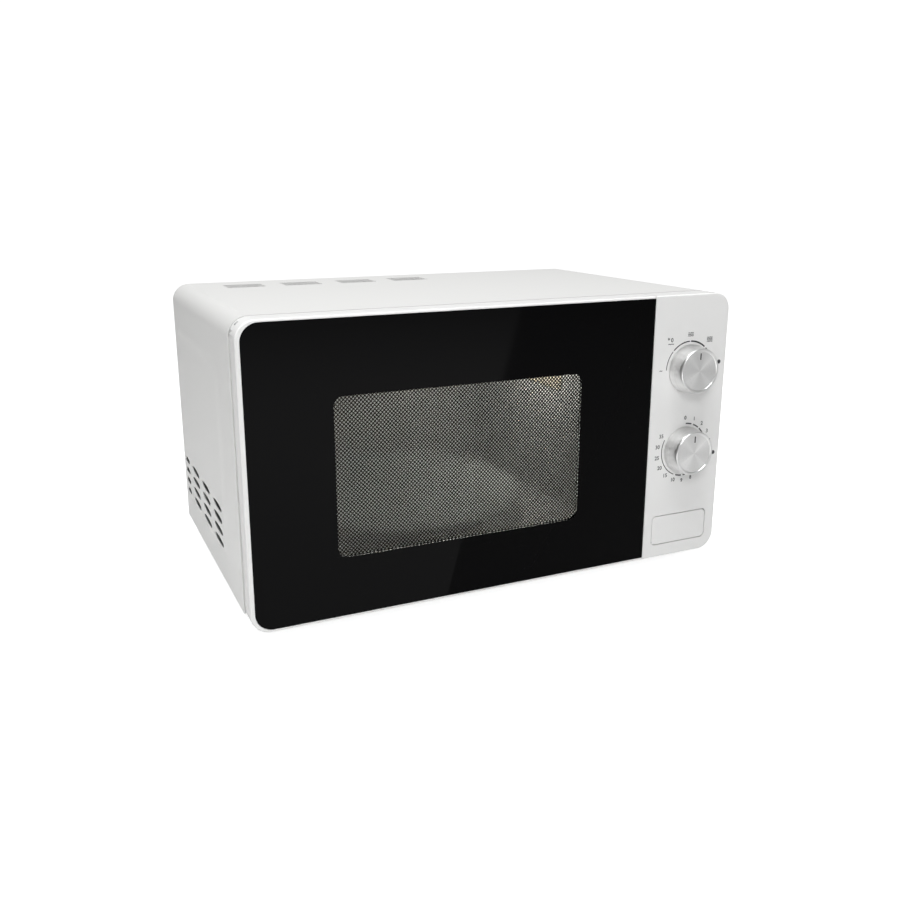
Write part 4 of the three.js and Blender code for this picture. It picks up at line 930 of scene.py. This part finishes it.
def build_door_frame(settings):
    width, thick = DOOR_HIGH.x - DOOR_LOW.x, DOOR_HIGH.y - DOOR_LOW.y
    body = face_slab("door_moulding", 0, width, 0, FACE_HEIGHT, 0, thick, settings.corner_radius)
    rim(body, FACE.y, DOOR_HIGH.x, settings.rim_rounding)
    seat_depth = GLASS_HIGH.y - GLASS_LOW.y + 0.3 * MM
    gap = 0.25 * MM
    seat = face_slab("seat", GLASS_LOW.x - FACE.x - gap, width + 9 * MM, GLASS_LOW.z - FACE.z - gap,
                     GLASS_HIGH.z - FACE.z + gap, -MM, seat_depth, settings.glass_radius + gap)
    sight = window_slab("sight", 4 * MM, -MM, thick + MM, 12 * MM)
    wall = 2.5 * MM
    pocket = face_slab("pocket", SCREEN_LOW.x - FACE.x - MM, width - wall, wall, FACE_HEIGHT - wall,
                       SCREEN_LOW.y - FACE.y - 0.3 * MM, thick + MM, 3 * MM, 3 * MM, 6)
    relief = block("relief", at(-1, 16, -1), Vector((HINGE.x, DOOR_HIGH.y + MM, DOOR_HIGH.z + MM)))
    round_back = rod("round", 6 * MM, DOOR_LOW.z - 2 * MM, DOOR_HIGH.z + 2 * MM, HINGE_AXIS, "z", 64)
    combine(relief, [round_back])
    spaces = []
    for bracket, top in (("upper_hinge_bracket", True), ("lower_hinge_bracket", False)):
        low, high = span(bracket)
        tab = high.z - 5 * MM if top else low.z + 5 * MM
        below, above = (TAB_THICKNESS, 0) if top else (0, TAB_THICKNESS)
        spaces += hinge_space(tab - TAB_PLAY - below, tab + TAB_PLAY + above)
    combine(body, [seat, sight, pocket, relief, *spaces])
    settle(body, "door", "white_moulding", ["door_frame"])


def build_glass(settings):
    depth = GLASS_HIGH.y - GLASS_LOW.y
    edge = (GLASS_LOW.x - FACE.x, GLASS_HIGH.x - FACE.x, GLASS_LOW.z - FACE.z, GLASS_HIGH.z - FACE.z)
    ring = face_slab("black_glass_border", *edge, 0, depth, settings.glass_radius)
    rim(ring, FACE.y, GLASS_HIGH.x, 0.5 * MM)
    combine(ring, [window_slab("hole", 0, -MM, depth + MM, settings.window_radius)])
    settle(ring, "door", "black_print", ["door_glass"])
    pane = window_slab("clear_glass_window", -0.01 * MM, 0, depth, settings.window_radius)
    settle(pane, "door", "window_glass", ["door_glass"])


def build_screen(settings):
    """The perforated screen: a diamond with a six-sided hole, repeated over the window."""
    half_x, half_z = settings.hole_pitch / 2, settings.row_pitch
    front = SCREEN_LOW.y
    left, right, low, high = WINDOW
    columns = int((right - left + 6 * MM) / settings.hole_pitch)
    rows = int((high - low + 6 * MM) / (2 * settings.row_pitch))
    start = FACE + Vector(((left + right) / 2 - columns * half_x + half_x / 2, 0,
                           (low + high) / 2 - rows * half_z + half_z / 2))
    cells = []
    for shift in (0, 1):
        middle_point = Vector((start.x + shift * half_x, front, start.z + shift * half_z))
        rings = []
        for count, reach_x, reach_z in ((4, half_x, half_z), (6, settings.hole / 2, settings.hole / 2)):
            deselect_all()
            bpy.ops.mesh.primitive_circle_add(vertices=count, radius=MM)
            ring = bpy.context.object
            for step, vert in enumerate(ring.data.vertices):
                turn = 2 * pi * step / count
                vert.co = middle_point + Vector((reach_x * cos(turn), 0, reach_z * sin(turn)))
            rings.append(ring)
        cell = join("cell", rings)
        edit(cell)
        pick_all()
        bpy.ops.mesh.bridge_edge_loops()
        done()
        cells.append(cell)
    sheet = join("door_screen_mesh", cells)
    for axis, count, pitch in ((0, columns, settings.hole_pitch), (2, rows, 2 * settings.row_pitch)):
        offset = [0.0, 0.0, 0.0]
        offset[axis] = pitch
        modify(sheet, "ARRAY", count=count, use_relative_offset=False, use_constant_offset=True,
               constant_offset_displace=offset)
    edit(sheet, "VERT")
    pick_all()
    bpy.ops.mesh.remove_doubles(threshold=0.00002)
    done()
    deselect_all()
    bpy.ops.mesh.primitive_circle_add(vertices=4, radius=MM)
    border = named("border")
    corners = ((SCREEN_LOW.x, SCREEN_LOW.z), (SCREEN_HIGH.x, SCREEN_LOW.z),
               (SCREEN_HIGH.x, SCREEN_HIGH.z), (SCREEN_LOW.x, SCREEN_HIGH.z))
    for vert, (x, z) in zip(border.data.vertices, corners):
        vert.co = (x, front, z)
    sheet = join("door_screen_mesh", [sheet, border])
    mesh = edit(sheet, "EDGE")
    # The border's edges have no face yet; the outermost cells' have one, and are longer than a hole's.
    for edge in mesh.edges:
        outermost = len(edge.link_faces) == 1 and edge.calc_length() > 1.2 * settings.hole / 2
        if outermost or not edge.link_faces:
            edge.select_set(True)
    bmesh.update_edit_mesh(sheet.data)
    bpy.ops.mesh.fill(use_beauty=True)
    pick_all()
    bpy.ops.mesh.normals_make_consistent(inside=False)
    done()
    depth = SCREEN_HIGH.y - SCREEN_LOW.y
    modify(sheet, "SOLIDIFY", thickness=depth - 0.2 * MM, offset=0.0)
    pick_points(sheet, lambda co: True)
    move((0, depth / 2, 0))
    settle(sheet, "door", "black_screen_paint", ["door_screen"], None)


class OVEN_OT_door(Operator):
    """Build the door's moulding, its glass with the black border, and its perforated screen"""

    bl_idname = "oven.door"
    bl_label = "Door"

    def execute(self, context):
        settings = context.scene.oven_door
        build_door_frame(settings)
        build_glass(settings)
        build_screen(settings)
        return {"FINISHED"}


# ---------------------------------------------------------------- panel


def on_face(name):
    """The point of the face in front of a part's middle."""
    return Vector((middle(name).x, FACE.y, middle(name).z))


def shaft_hole(knob):
    return rod("hole", 4.5 * MM, -MM, 5 * MM, on_face(knob), "y", 32)


def button_slab(name, growth, front, back, radius):
    low, high = BUTTON_LOW - FACE, BUTTON_HIGH - FACE
    return face_slab(name, low.x - growth, high.x + growth, low.z - growth, high.z + growth, front, back,
                     radius, radius, 8)


class OVEN_OT_panel(Operator):
    """Build the control panel and the flush release button"""

    bl_idname = "oven.panel"
    bl_label = "Control panel"

    def execute(self, context):
        settings = context.scene.oven_panel
        left = PANEL_LOW.x - FACE.x
        thick = DOOR_HIGH.y - DOOR_LOW.y
        shell = face_slab("panel_moulding", left, FACE_WIDTH, 0, FACE_HEIGHT, 0, thick,
                          0.0, settings.corner_radius)
        rim(shell, FACE.y, PANEL_LOW.x, context.scene.oven_door.rim_rounding)
        wall = settings.wall
        hollow = face_slab("hollow", left + wall, FACE_WIDTH - wall, wall, FACE_HEIGHT - wall, wall,
                           thick + MM, 0.0, settings.corner_radius - wall)
        button_hole = button_slab("hole", settings.button_gap, -MM, wall + MM, 4.5 * MM)
        combine(shell, [hollow, shaft_hole("power_knob"), shaft_hole("timer_knob"), button_hole])
        settle(shell, "cabinet", "white_moulding", ["control_panel"])

        cap = button_slab("button_cap", 0.0, 0, 8 * MM, 4.2 * MM)
        rim(cap, FACE.y, -1.0, 0.35 * MM)
        well = button_slab("well", -2 * MM, 2 * MM, 9 * MM, 2.2 * MM)
        combine(cap, [well])
        lever_low, lever_high = span("release_lever")
        stem_x, stem_z = lever_high.x - 8 * MM, lever_low.z + 18.5 * MM
        stem = block("stem", Vector((stem_x - 2.5 * MM, FACE.y + 1.5 * MM, stem_z - 1 * MM)),
                     Vector((stem_x + 2.5 * MM, BUTTON_HIGH.y, stem_z + 1 * MM)))
        combine(cap, [stem], "UNION")
        settle(cap, "release_button", "white_moulding", ["release_button"])
        return {"FINISHED"}


# ---------------------------------------------------------------- dials


DIALS = (("power", "power_knob", "power_dial"), ("timer", "timer_knob", "timer_dial"))
# Radius of the hole in a dial's back that its shaft fits.
SOCKET = 3.4 * MM


class OVEN_OT_dials(Operator):
    """Build the two brushed dials with their rims and pointers"""

    bl_idname = "oven.dials"
    bl_label = "Dials"

    def execute(self, context):
        settings = context.scene.oven_dial
        for name, knob, body in DIALS:
            low, high = span(knob)
            out, back = low.y - FACE.y, high.y - FACE.y
            centre = on_face(knob)
            base, face = settings.base_radius, settings.face_radius
            disc = face - settings.rim
            depth, socket_floor = out + 0.8 * MM, out + 4.5 * MM
            profile = [
                (SOCKET, back), (base - 0.5 * MM, back), (base, back - 0.5 * MM), (base, back - 1.4 * MM),
                (base - 0.2 * MM, back - 1.9 * MM), (face + 0.5 * MM, out + 3.2 * MM),
                (face + 0.1 * MM, out + 1.2 * MM), (face - 0.2 * MM, out + 0.35 * MM), (face - 0.6 * MM, out),
                (disc + 0.5 * MM, out), (disc + 0.1 * MM, out + 0.2 * MM), (disc - 0.2 * MM, out + 0.7 * MM),
                (disc - 0.6 * MM, depth), (0, depth), (0, socket_floor), (SOCKET, socket_floor),
            ]
            dial = turned(f"{name}_dial", profile, centre, "y", 128)
            settle(dial, body, f"{name}_dial_silver", [knob], 30)
            mark = block(f"{name}_pointer", centre + Vector((-0.65 * MM, depth - 0.12 * MM, 10.3 * MM)),
                         centre + Vector((0.65 * MM, depth + 0.4 * MM, 16.2 * MM)))
            modify(mark, "BEVEL", width=0.08 * MM, segments=2, limit_method="ANGLE", angle_limit=radians(40),
                   use_clamp_overlap=False)
            settle(mark, body, "black_phenolic")
        return {"FINISHED"}


# ---------------------------------------------------------------- printed scales


# How far the printed ink stands out of the panel and reaches into it, along Y.
PRINT_FRONT, PRINT_BACK = -0.04 * MM, 0.1 * MM
# Arcs of each scale: start and end in degrees clockwise from the top, and width in millimetres.
ARCS = {
    "power": ((-90, -48.5, 0.8), (-45.5, -1.5, 1.1), (1.5, 41, 1.4), (45, 84, 1.5)),
    "timer": (*((step * 20 + 2, step * 20 + 17.5, 1.2) for step in range(10)), (203, 297, 0.8)),
}
ARC_RADIUS = 24.9
# The dot of each scale: its distance from the dial's axis and its turn from the top.
DOTS = {"power": (34.5, 84), "timer": (36, 101)}
# Signs of each scale: turn, distance, text, and how far it is moved right and up from there.
SIGNS = {
    "power": ((-90, 31, "~", 0, 0), (-40, 34, "*", -2.4, 1.2), (-40, 34, "0", 1.4, 0.9),
              (-40, 34, "~~", 0.4, -2.4), *((0, 31.3, "~~", 0, row * 1.35) for row in (-1, 0, 1)),
              *((40.5, 33.5, "~~", 0, row * 1.25) for row in (-1.5, -0.5, 0.5, 1.5))),
    "timer": tuple((step * 20, 30.2, text, 0, 0)
                   for step, text in enumerate("0 1 2 3 4 5 6 7 8 9 10 15 20 25 30 35".split())),
}
SIGN_SIZES = {"power": 1.08, "timer": 1.0}


def flat_print(name, centre, radius, width, start, end):
    """A printed arc, clockwise from twelve o'clock in degrees, a hair proud of the panel."""
    inner, outer = radius - width / 2, radius + width / 2
    profile = [(inner, PRINT_FRONT), (outer, PRINT_FRONT), (outer, PRINT_BACK), (inner, PRINT_BACK)]
    steps = max(4, int((end - start) / 3))
    return turned(name, profile, centre, "y", steps, radians(end - start), radians(end))


def printed_text(text, centre, size):
    deselect_all()
    bpy.ops.object.text_add(radius=size)
    label = bpy.context.object
    label.data.body = text
    label.data.align_x, label.data.align_y = "CENTER", "CENTER"
    label.data.extrude = 0.03 * MM
    label.data.offset = 0.1 * MM
    label.data.resolution_u = 3
    bpy.ops.object.convert(target="MESH")
    label = bpy.context.object
    label.rotation_euler = (pi / 2, 0, 0)
    label.location = centre
    bpy.ops.object.transform_apply(location=True, rotation=True, scale=True)
    return label


def around(centre, radius, turn):
    return centre + Vector((radius * sin(radians(turn)), 0, radius * cos(radians(turn))))


class OVEN_OT_scales(Operator):
    """Print the power and timer scales round the dials"""

    bl_idname = "oven.scales"
    bl_label = "Printed scales"

    def execute(self, context):
        settings = context.scene.oven_panel
        for name, knob, _ in DIALS:
            centre = on_face(knob)
            size = settings.print_width * SIGN_SIZES[name]
            parts = []
            for turn, reach, sign, right, up in SIGNS[name]:
                spot = around(centre, reach * MM, turn) + Vector((right * MM, 0, up * MM))
                parts.append(printed_text(sign, spot, size))
            reach, turn = DOTS[name]
            dot = around(centre, reach * MM, turn)
            parts.append(flat_print("dot", dot, 0.98 * MM, 1.9 * MM, 0, 359.999))
            for start, end, width in ARCS[name]:
                parts.append(flat_print("arc", centre, ARC_RADIUS * MM, width * MM, start, end))
            scale = join(f"{name}_scale", parts)
            settle(scale, "cabinet", "printing_ink", (), None)
        return {"FINISHED"}


# ---------------------------------------------------------------- turntable and feet


class OVEN_OT_turntable(Operator):
    """Build the glass tray with the three lugs that its coupling turns"""

    bl_idname = "oven.turntable"
    bl_label = "Turntable"

    def execute(self, context):
        centre = middle("glass_tray")
        low = TRAY_LOW.z + 4 * MM
        reach = (TRAY_HIGH.x - TRAY_LOW.x) / 2
        top = TRAY_HIGH.z
        axis = Vector((centre.x, centre.y, 0))
        profile = [
            (0, low), (reach - 14 * MM, low), (reach - 9 * MM, low + 0.8 * MM),
            (reach - 5 * MM, low + 3.2 * MM), (reach - 1.2 * MM, top - 2.6 * MM), (reach, top - 1.2 * MM),
            (reach - 0.3 * MM, top - 0.3 * MM), (reach - 1.3 * MM, top), (reach - 2.8 * MM, top - 0.8 * MM),
            (reach - 7 * MM, low + 5.8 * MM), (reach - 11 * MM, low + 4.4 * MM),
            (reach - 15 * MM, low + 4 * MM), (0, low + 4 * MM),
        ]
        tray = turned("glass_plate", profile, axis, "z", 128)
        lugs = []
        for turn in (60, 180, 300):
            a = radians(turn)
            points = [(axis.x + (u * cos(a) - v * sin(a)) * MM, axis.y + (u * sin(a) + v * cos(a)) * MM)
                      for u, v in ((12, -4), (20, -4), (20, 4), (12, 4))]
            lugs.append(outline_slab("lug", points, "z", TRAY_LOW.z, low + MM))
        combine(tray, lugs, "UNION")
        settle(tray, "glass_tray", "clear_glass", ["glass_tray"])
        return {"FINISHED"}


class OVEN_OT_feet(Operator):
    """Build the four rubber feet with their ribbed soles"""

    bl_idname = "oven.feet"
    bl_label = "Feet"

    def execute(self, context):
        low, high = span("foot_front_left")
        reach, sole = (high.x - low.x) / 2, low.z
        peg, top = 3.5 * MM, high.z
        under = sole + 23 * MM - 0.3 * MM
        profile = [
            (0, sole + 1.2 * MM), (3 * MM, sole + 1.2 * MM), (3.6 * MM, sole), (6 * MM, sole),
            (6.5 * MM, sole + 0.8 * MM), (7.5 * MM, sole + 0.8 * MM), (8 * MM, sole), (reach - 3 * MM, sole),
            (reach - 2.2 * MM, sole + 0.4 * MM), (reach - 1.8 * MM, sole + 1.5 * MM),
            (reach, under - 2.4 * MM), (reach, under - 0.6 * MM), (reach - 0.6 * MM, under),
            (peg, under), (peg, top), (0, top),
        ]
        for name in ("foot_front_left", "foot_front_right", "foot_rear_left", "foot_rear_right"):
            spot = middle(name)
            foot = turned(f"rubber_{name}", profile, Vector((spot.x, spot.y, 0)), "z", 48)
            settle(foot, "cabinet", "black_rubber", [name])
        return {"FINISHED"}


class OVEN_OT_finishes(Operator):
    """Make every finish, and give the frame's own parts theirs"""

    bl_idname = "oven.finishes"
    bl_label = "Finishes"

    def execute(self, context):
        build_finishes(context.scene)
        return {"FINISHED"}


# ---------------------------------------------------------------- stage


def linked(name, data, spot):
    """An object made of its data and put in the scene at a place."""
    made = bpy.data.objects.new(name, data)
    bpy.context.scene.collection.objects.link(made)
    made.location = spot
    return made


def area_light(name, spot, size, watts):
    """A square soft light, aimed at the oven."""
    data = bpy.data.lights.new(name, "AREA")
    data.shape, data.size, data.size_y = "RECTANGLE", size, size
    data.energy = watts
    aim = Vector((0, 0, 0.1)) - Vector(spot)
    linked(name, data, spot).rotation_euler = aim.to_track_quat("-Z", "Y").to_euler()


# The floor's glowing patch that the black glass mirrors: its corners, and the middle of its glow.
CARD_OUTLINE = [(-2.2, -0.16), (-0.053, -0.16), (1.3, -2.43), (-2.2, -2.43)]
CARD_MIDDLE = Vector((0.25, -0.75, 0))
CAMERA_PLACE = (-0.36068, -0.80823, 0.35391)


class OVEN_OT_stage(Operator):
    """Set up the floor, the soft lights and the camera"""

    bl_idname = "oven.stage"
    bl_label = "Stage"

    def execute(self, context):
        settings = context.scene.oven_stage
        deselect_all()
        bpy.ops.mesh.primitive_grid_add(x_subdivisions=4, y_subdivisions=4, size=40, location=(0, 0, 0))
        floor = named("studio_floor")
        surface = Surface("pale_floor", (0.60, 0.60, 0.60), 0.9)
        cloud = surface.group("surface_grain", Grain_Scale=300.0, Mottle_Scale=1.5)
        surface.tint(spread(surface.tree, cloud.outputs["Mottle"], 0.4, 0.7, 0.0, 0.3), (0.62, 0.62, 0.62))
        surface.set(Specular_IOR_Level=0.0)
        seen = node(surface.tree, "ShaderNodeLightPath").outputs["Is Camera Ray"]
        surface.glow(seen, 0.0, 1.0, 0.1, 0.85)
        floor.data.materials.append(surface.material)

        card = outline_slab("reflector_card", CARD_OUTLINE, "z", 0.001, 0.002)
        bright = Surface("card_glow", (0.0, 0.0, 0.0), 1.0, 0.0, CARD_MIDDLE)
        reach = node(bright.tree, "ShaderNodeVectorMath", operation="LENGTH")
        wire(bright.tree, bright.place, reach.inputs[0])
        bright.glow(reach.outputs["Value"], 0.3, 1.9, 2.0, 0.4)
        card.data.materials.append(bright.material)
        card.visible_camera = card.visible_diffuse = card.visible_shadow = card.visible_transmission = False

        world = bpy.data.worlds.new("soft_room")
        context.scene.world = world
        world.use_nodes = True
        tree = world.node_tree
        back = tree.nodes["Background"]
        back.inputs["Color"].default_value = (1, 1, 1, 1)
        seen = node(tree, "ShaderNodeLightPath").outputs["Is Camera Ray"]
        wire(tree, spread(tree, seen, 0.0, 1.0, settings.room, 1.1), back.inputs["Strength"])

        area_light("light_above", (-0.25, -0.35, 2.0), 1.1, settings.top_light)
        area_light("light_in_front", (-1.2, -2.4, 1.9), 0.9, settings.front_light)
        lamp = bpy.data.lights.new("oven_light", "POINT")
        lamp.energy, lamp.shadow_soft_size, lamp.color = 1.1, 0.02, (1.0, 0.97, 0.92)
        depth = (CAVITY_LOW.y + CAVITY_HIGH.y) / 2 - 20 * MM
        linked("oven_light", lamp, Vector((CAVITY_HIGH.x - 40 * MM, depth, CAVITY_HIGH.z - 25 * MM)))

        data = bpy.data.cameras.new("camera")
        data.lens, data.sensor_width = settings.lens, 36.0
        data.shift_y = -0.0207
        data.clip_start, data.clip_end = 0.01, 100.0
        camera = linked("camera", data, CAMERA_PLACE)
        camera.rotation_euler = (pi / 2 - settings.tilt, 0, -settings.turn)
        context.scene.camera = camera
        context.scene.view_settings.view_transform = "Standard"
        return {"FINISHED"}


# ---------------------------------------------------------------- panel in the sidebar


OPERATORS = (OVEN_OT_finishes, OVEN_OT_cabinet, OVEN_OT_rear, OVEN_OT_door, OVEN_OT_panel, OVEN_OT_dials,
             OVEN_OT_scales, OVEN_OT_turntable, OVEN_OT_feet, OVEN_OT_stage)
SETTINGS = {"oven_cabinet": OvenCabinetSettings, "oven_door": OvenDoorSettings,
            "oven_panel": OvenPanelSettings, "oven_dial": OvenDialSettings, "oven_stage": OvenStageSettings}


class OVEN_PT_sidebar(Panel):
    """Lists the oven's pieces and their sizes"""

    bl_idname = "OVEN_PT_sidebar"
    bl_label = "Dial microwave oven"
    bl_space_type = "VIEW_3D"
    bl_region_type = "UI"
    bl_category = "Oven"

    def draw(self, context):
        for operator in OPERATORS:
            self.layout.operator(operator.bl_idname)
        for key, group in SETTINGS.items():
            box = self.layout.box()
            for name in group.__annotations__:
                box.prop(getattr(context.scene, key), name)


CLASSES = (*SETTINGS.values(), *OPERATORS, OVEN_PT_sidebar)


def register():
    for item in CLASSES:
        bpy.utils.register_class(item)
    for key, group in SETTINGS.items():
        setattr(bpy.types.Scene, key, PointerProperty(type=group))


def unregister():
    for key in SETTINGS:
        delattr(bpy.types.Scene, key)
    for item in reversed(CLASSES):
        bpy.utils.unregister_class(item)


def main():
    register()
    for operator in OPERATORS:
        family, name = operator.bl_idname.split(".")
        if getattr(getattr(bpy.ops, family), name)() != {"FINISHED"}:
            raise RuntimeError(f"{operator.bl_idname} did not finish")
    bpy.context.view_layer.update()


if __name__ == "__main__":
    main()
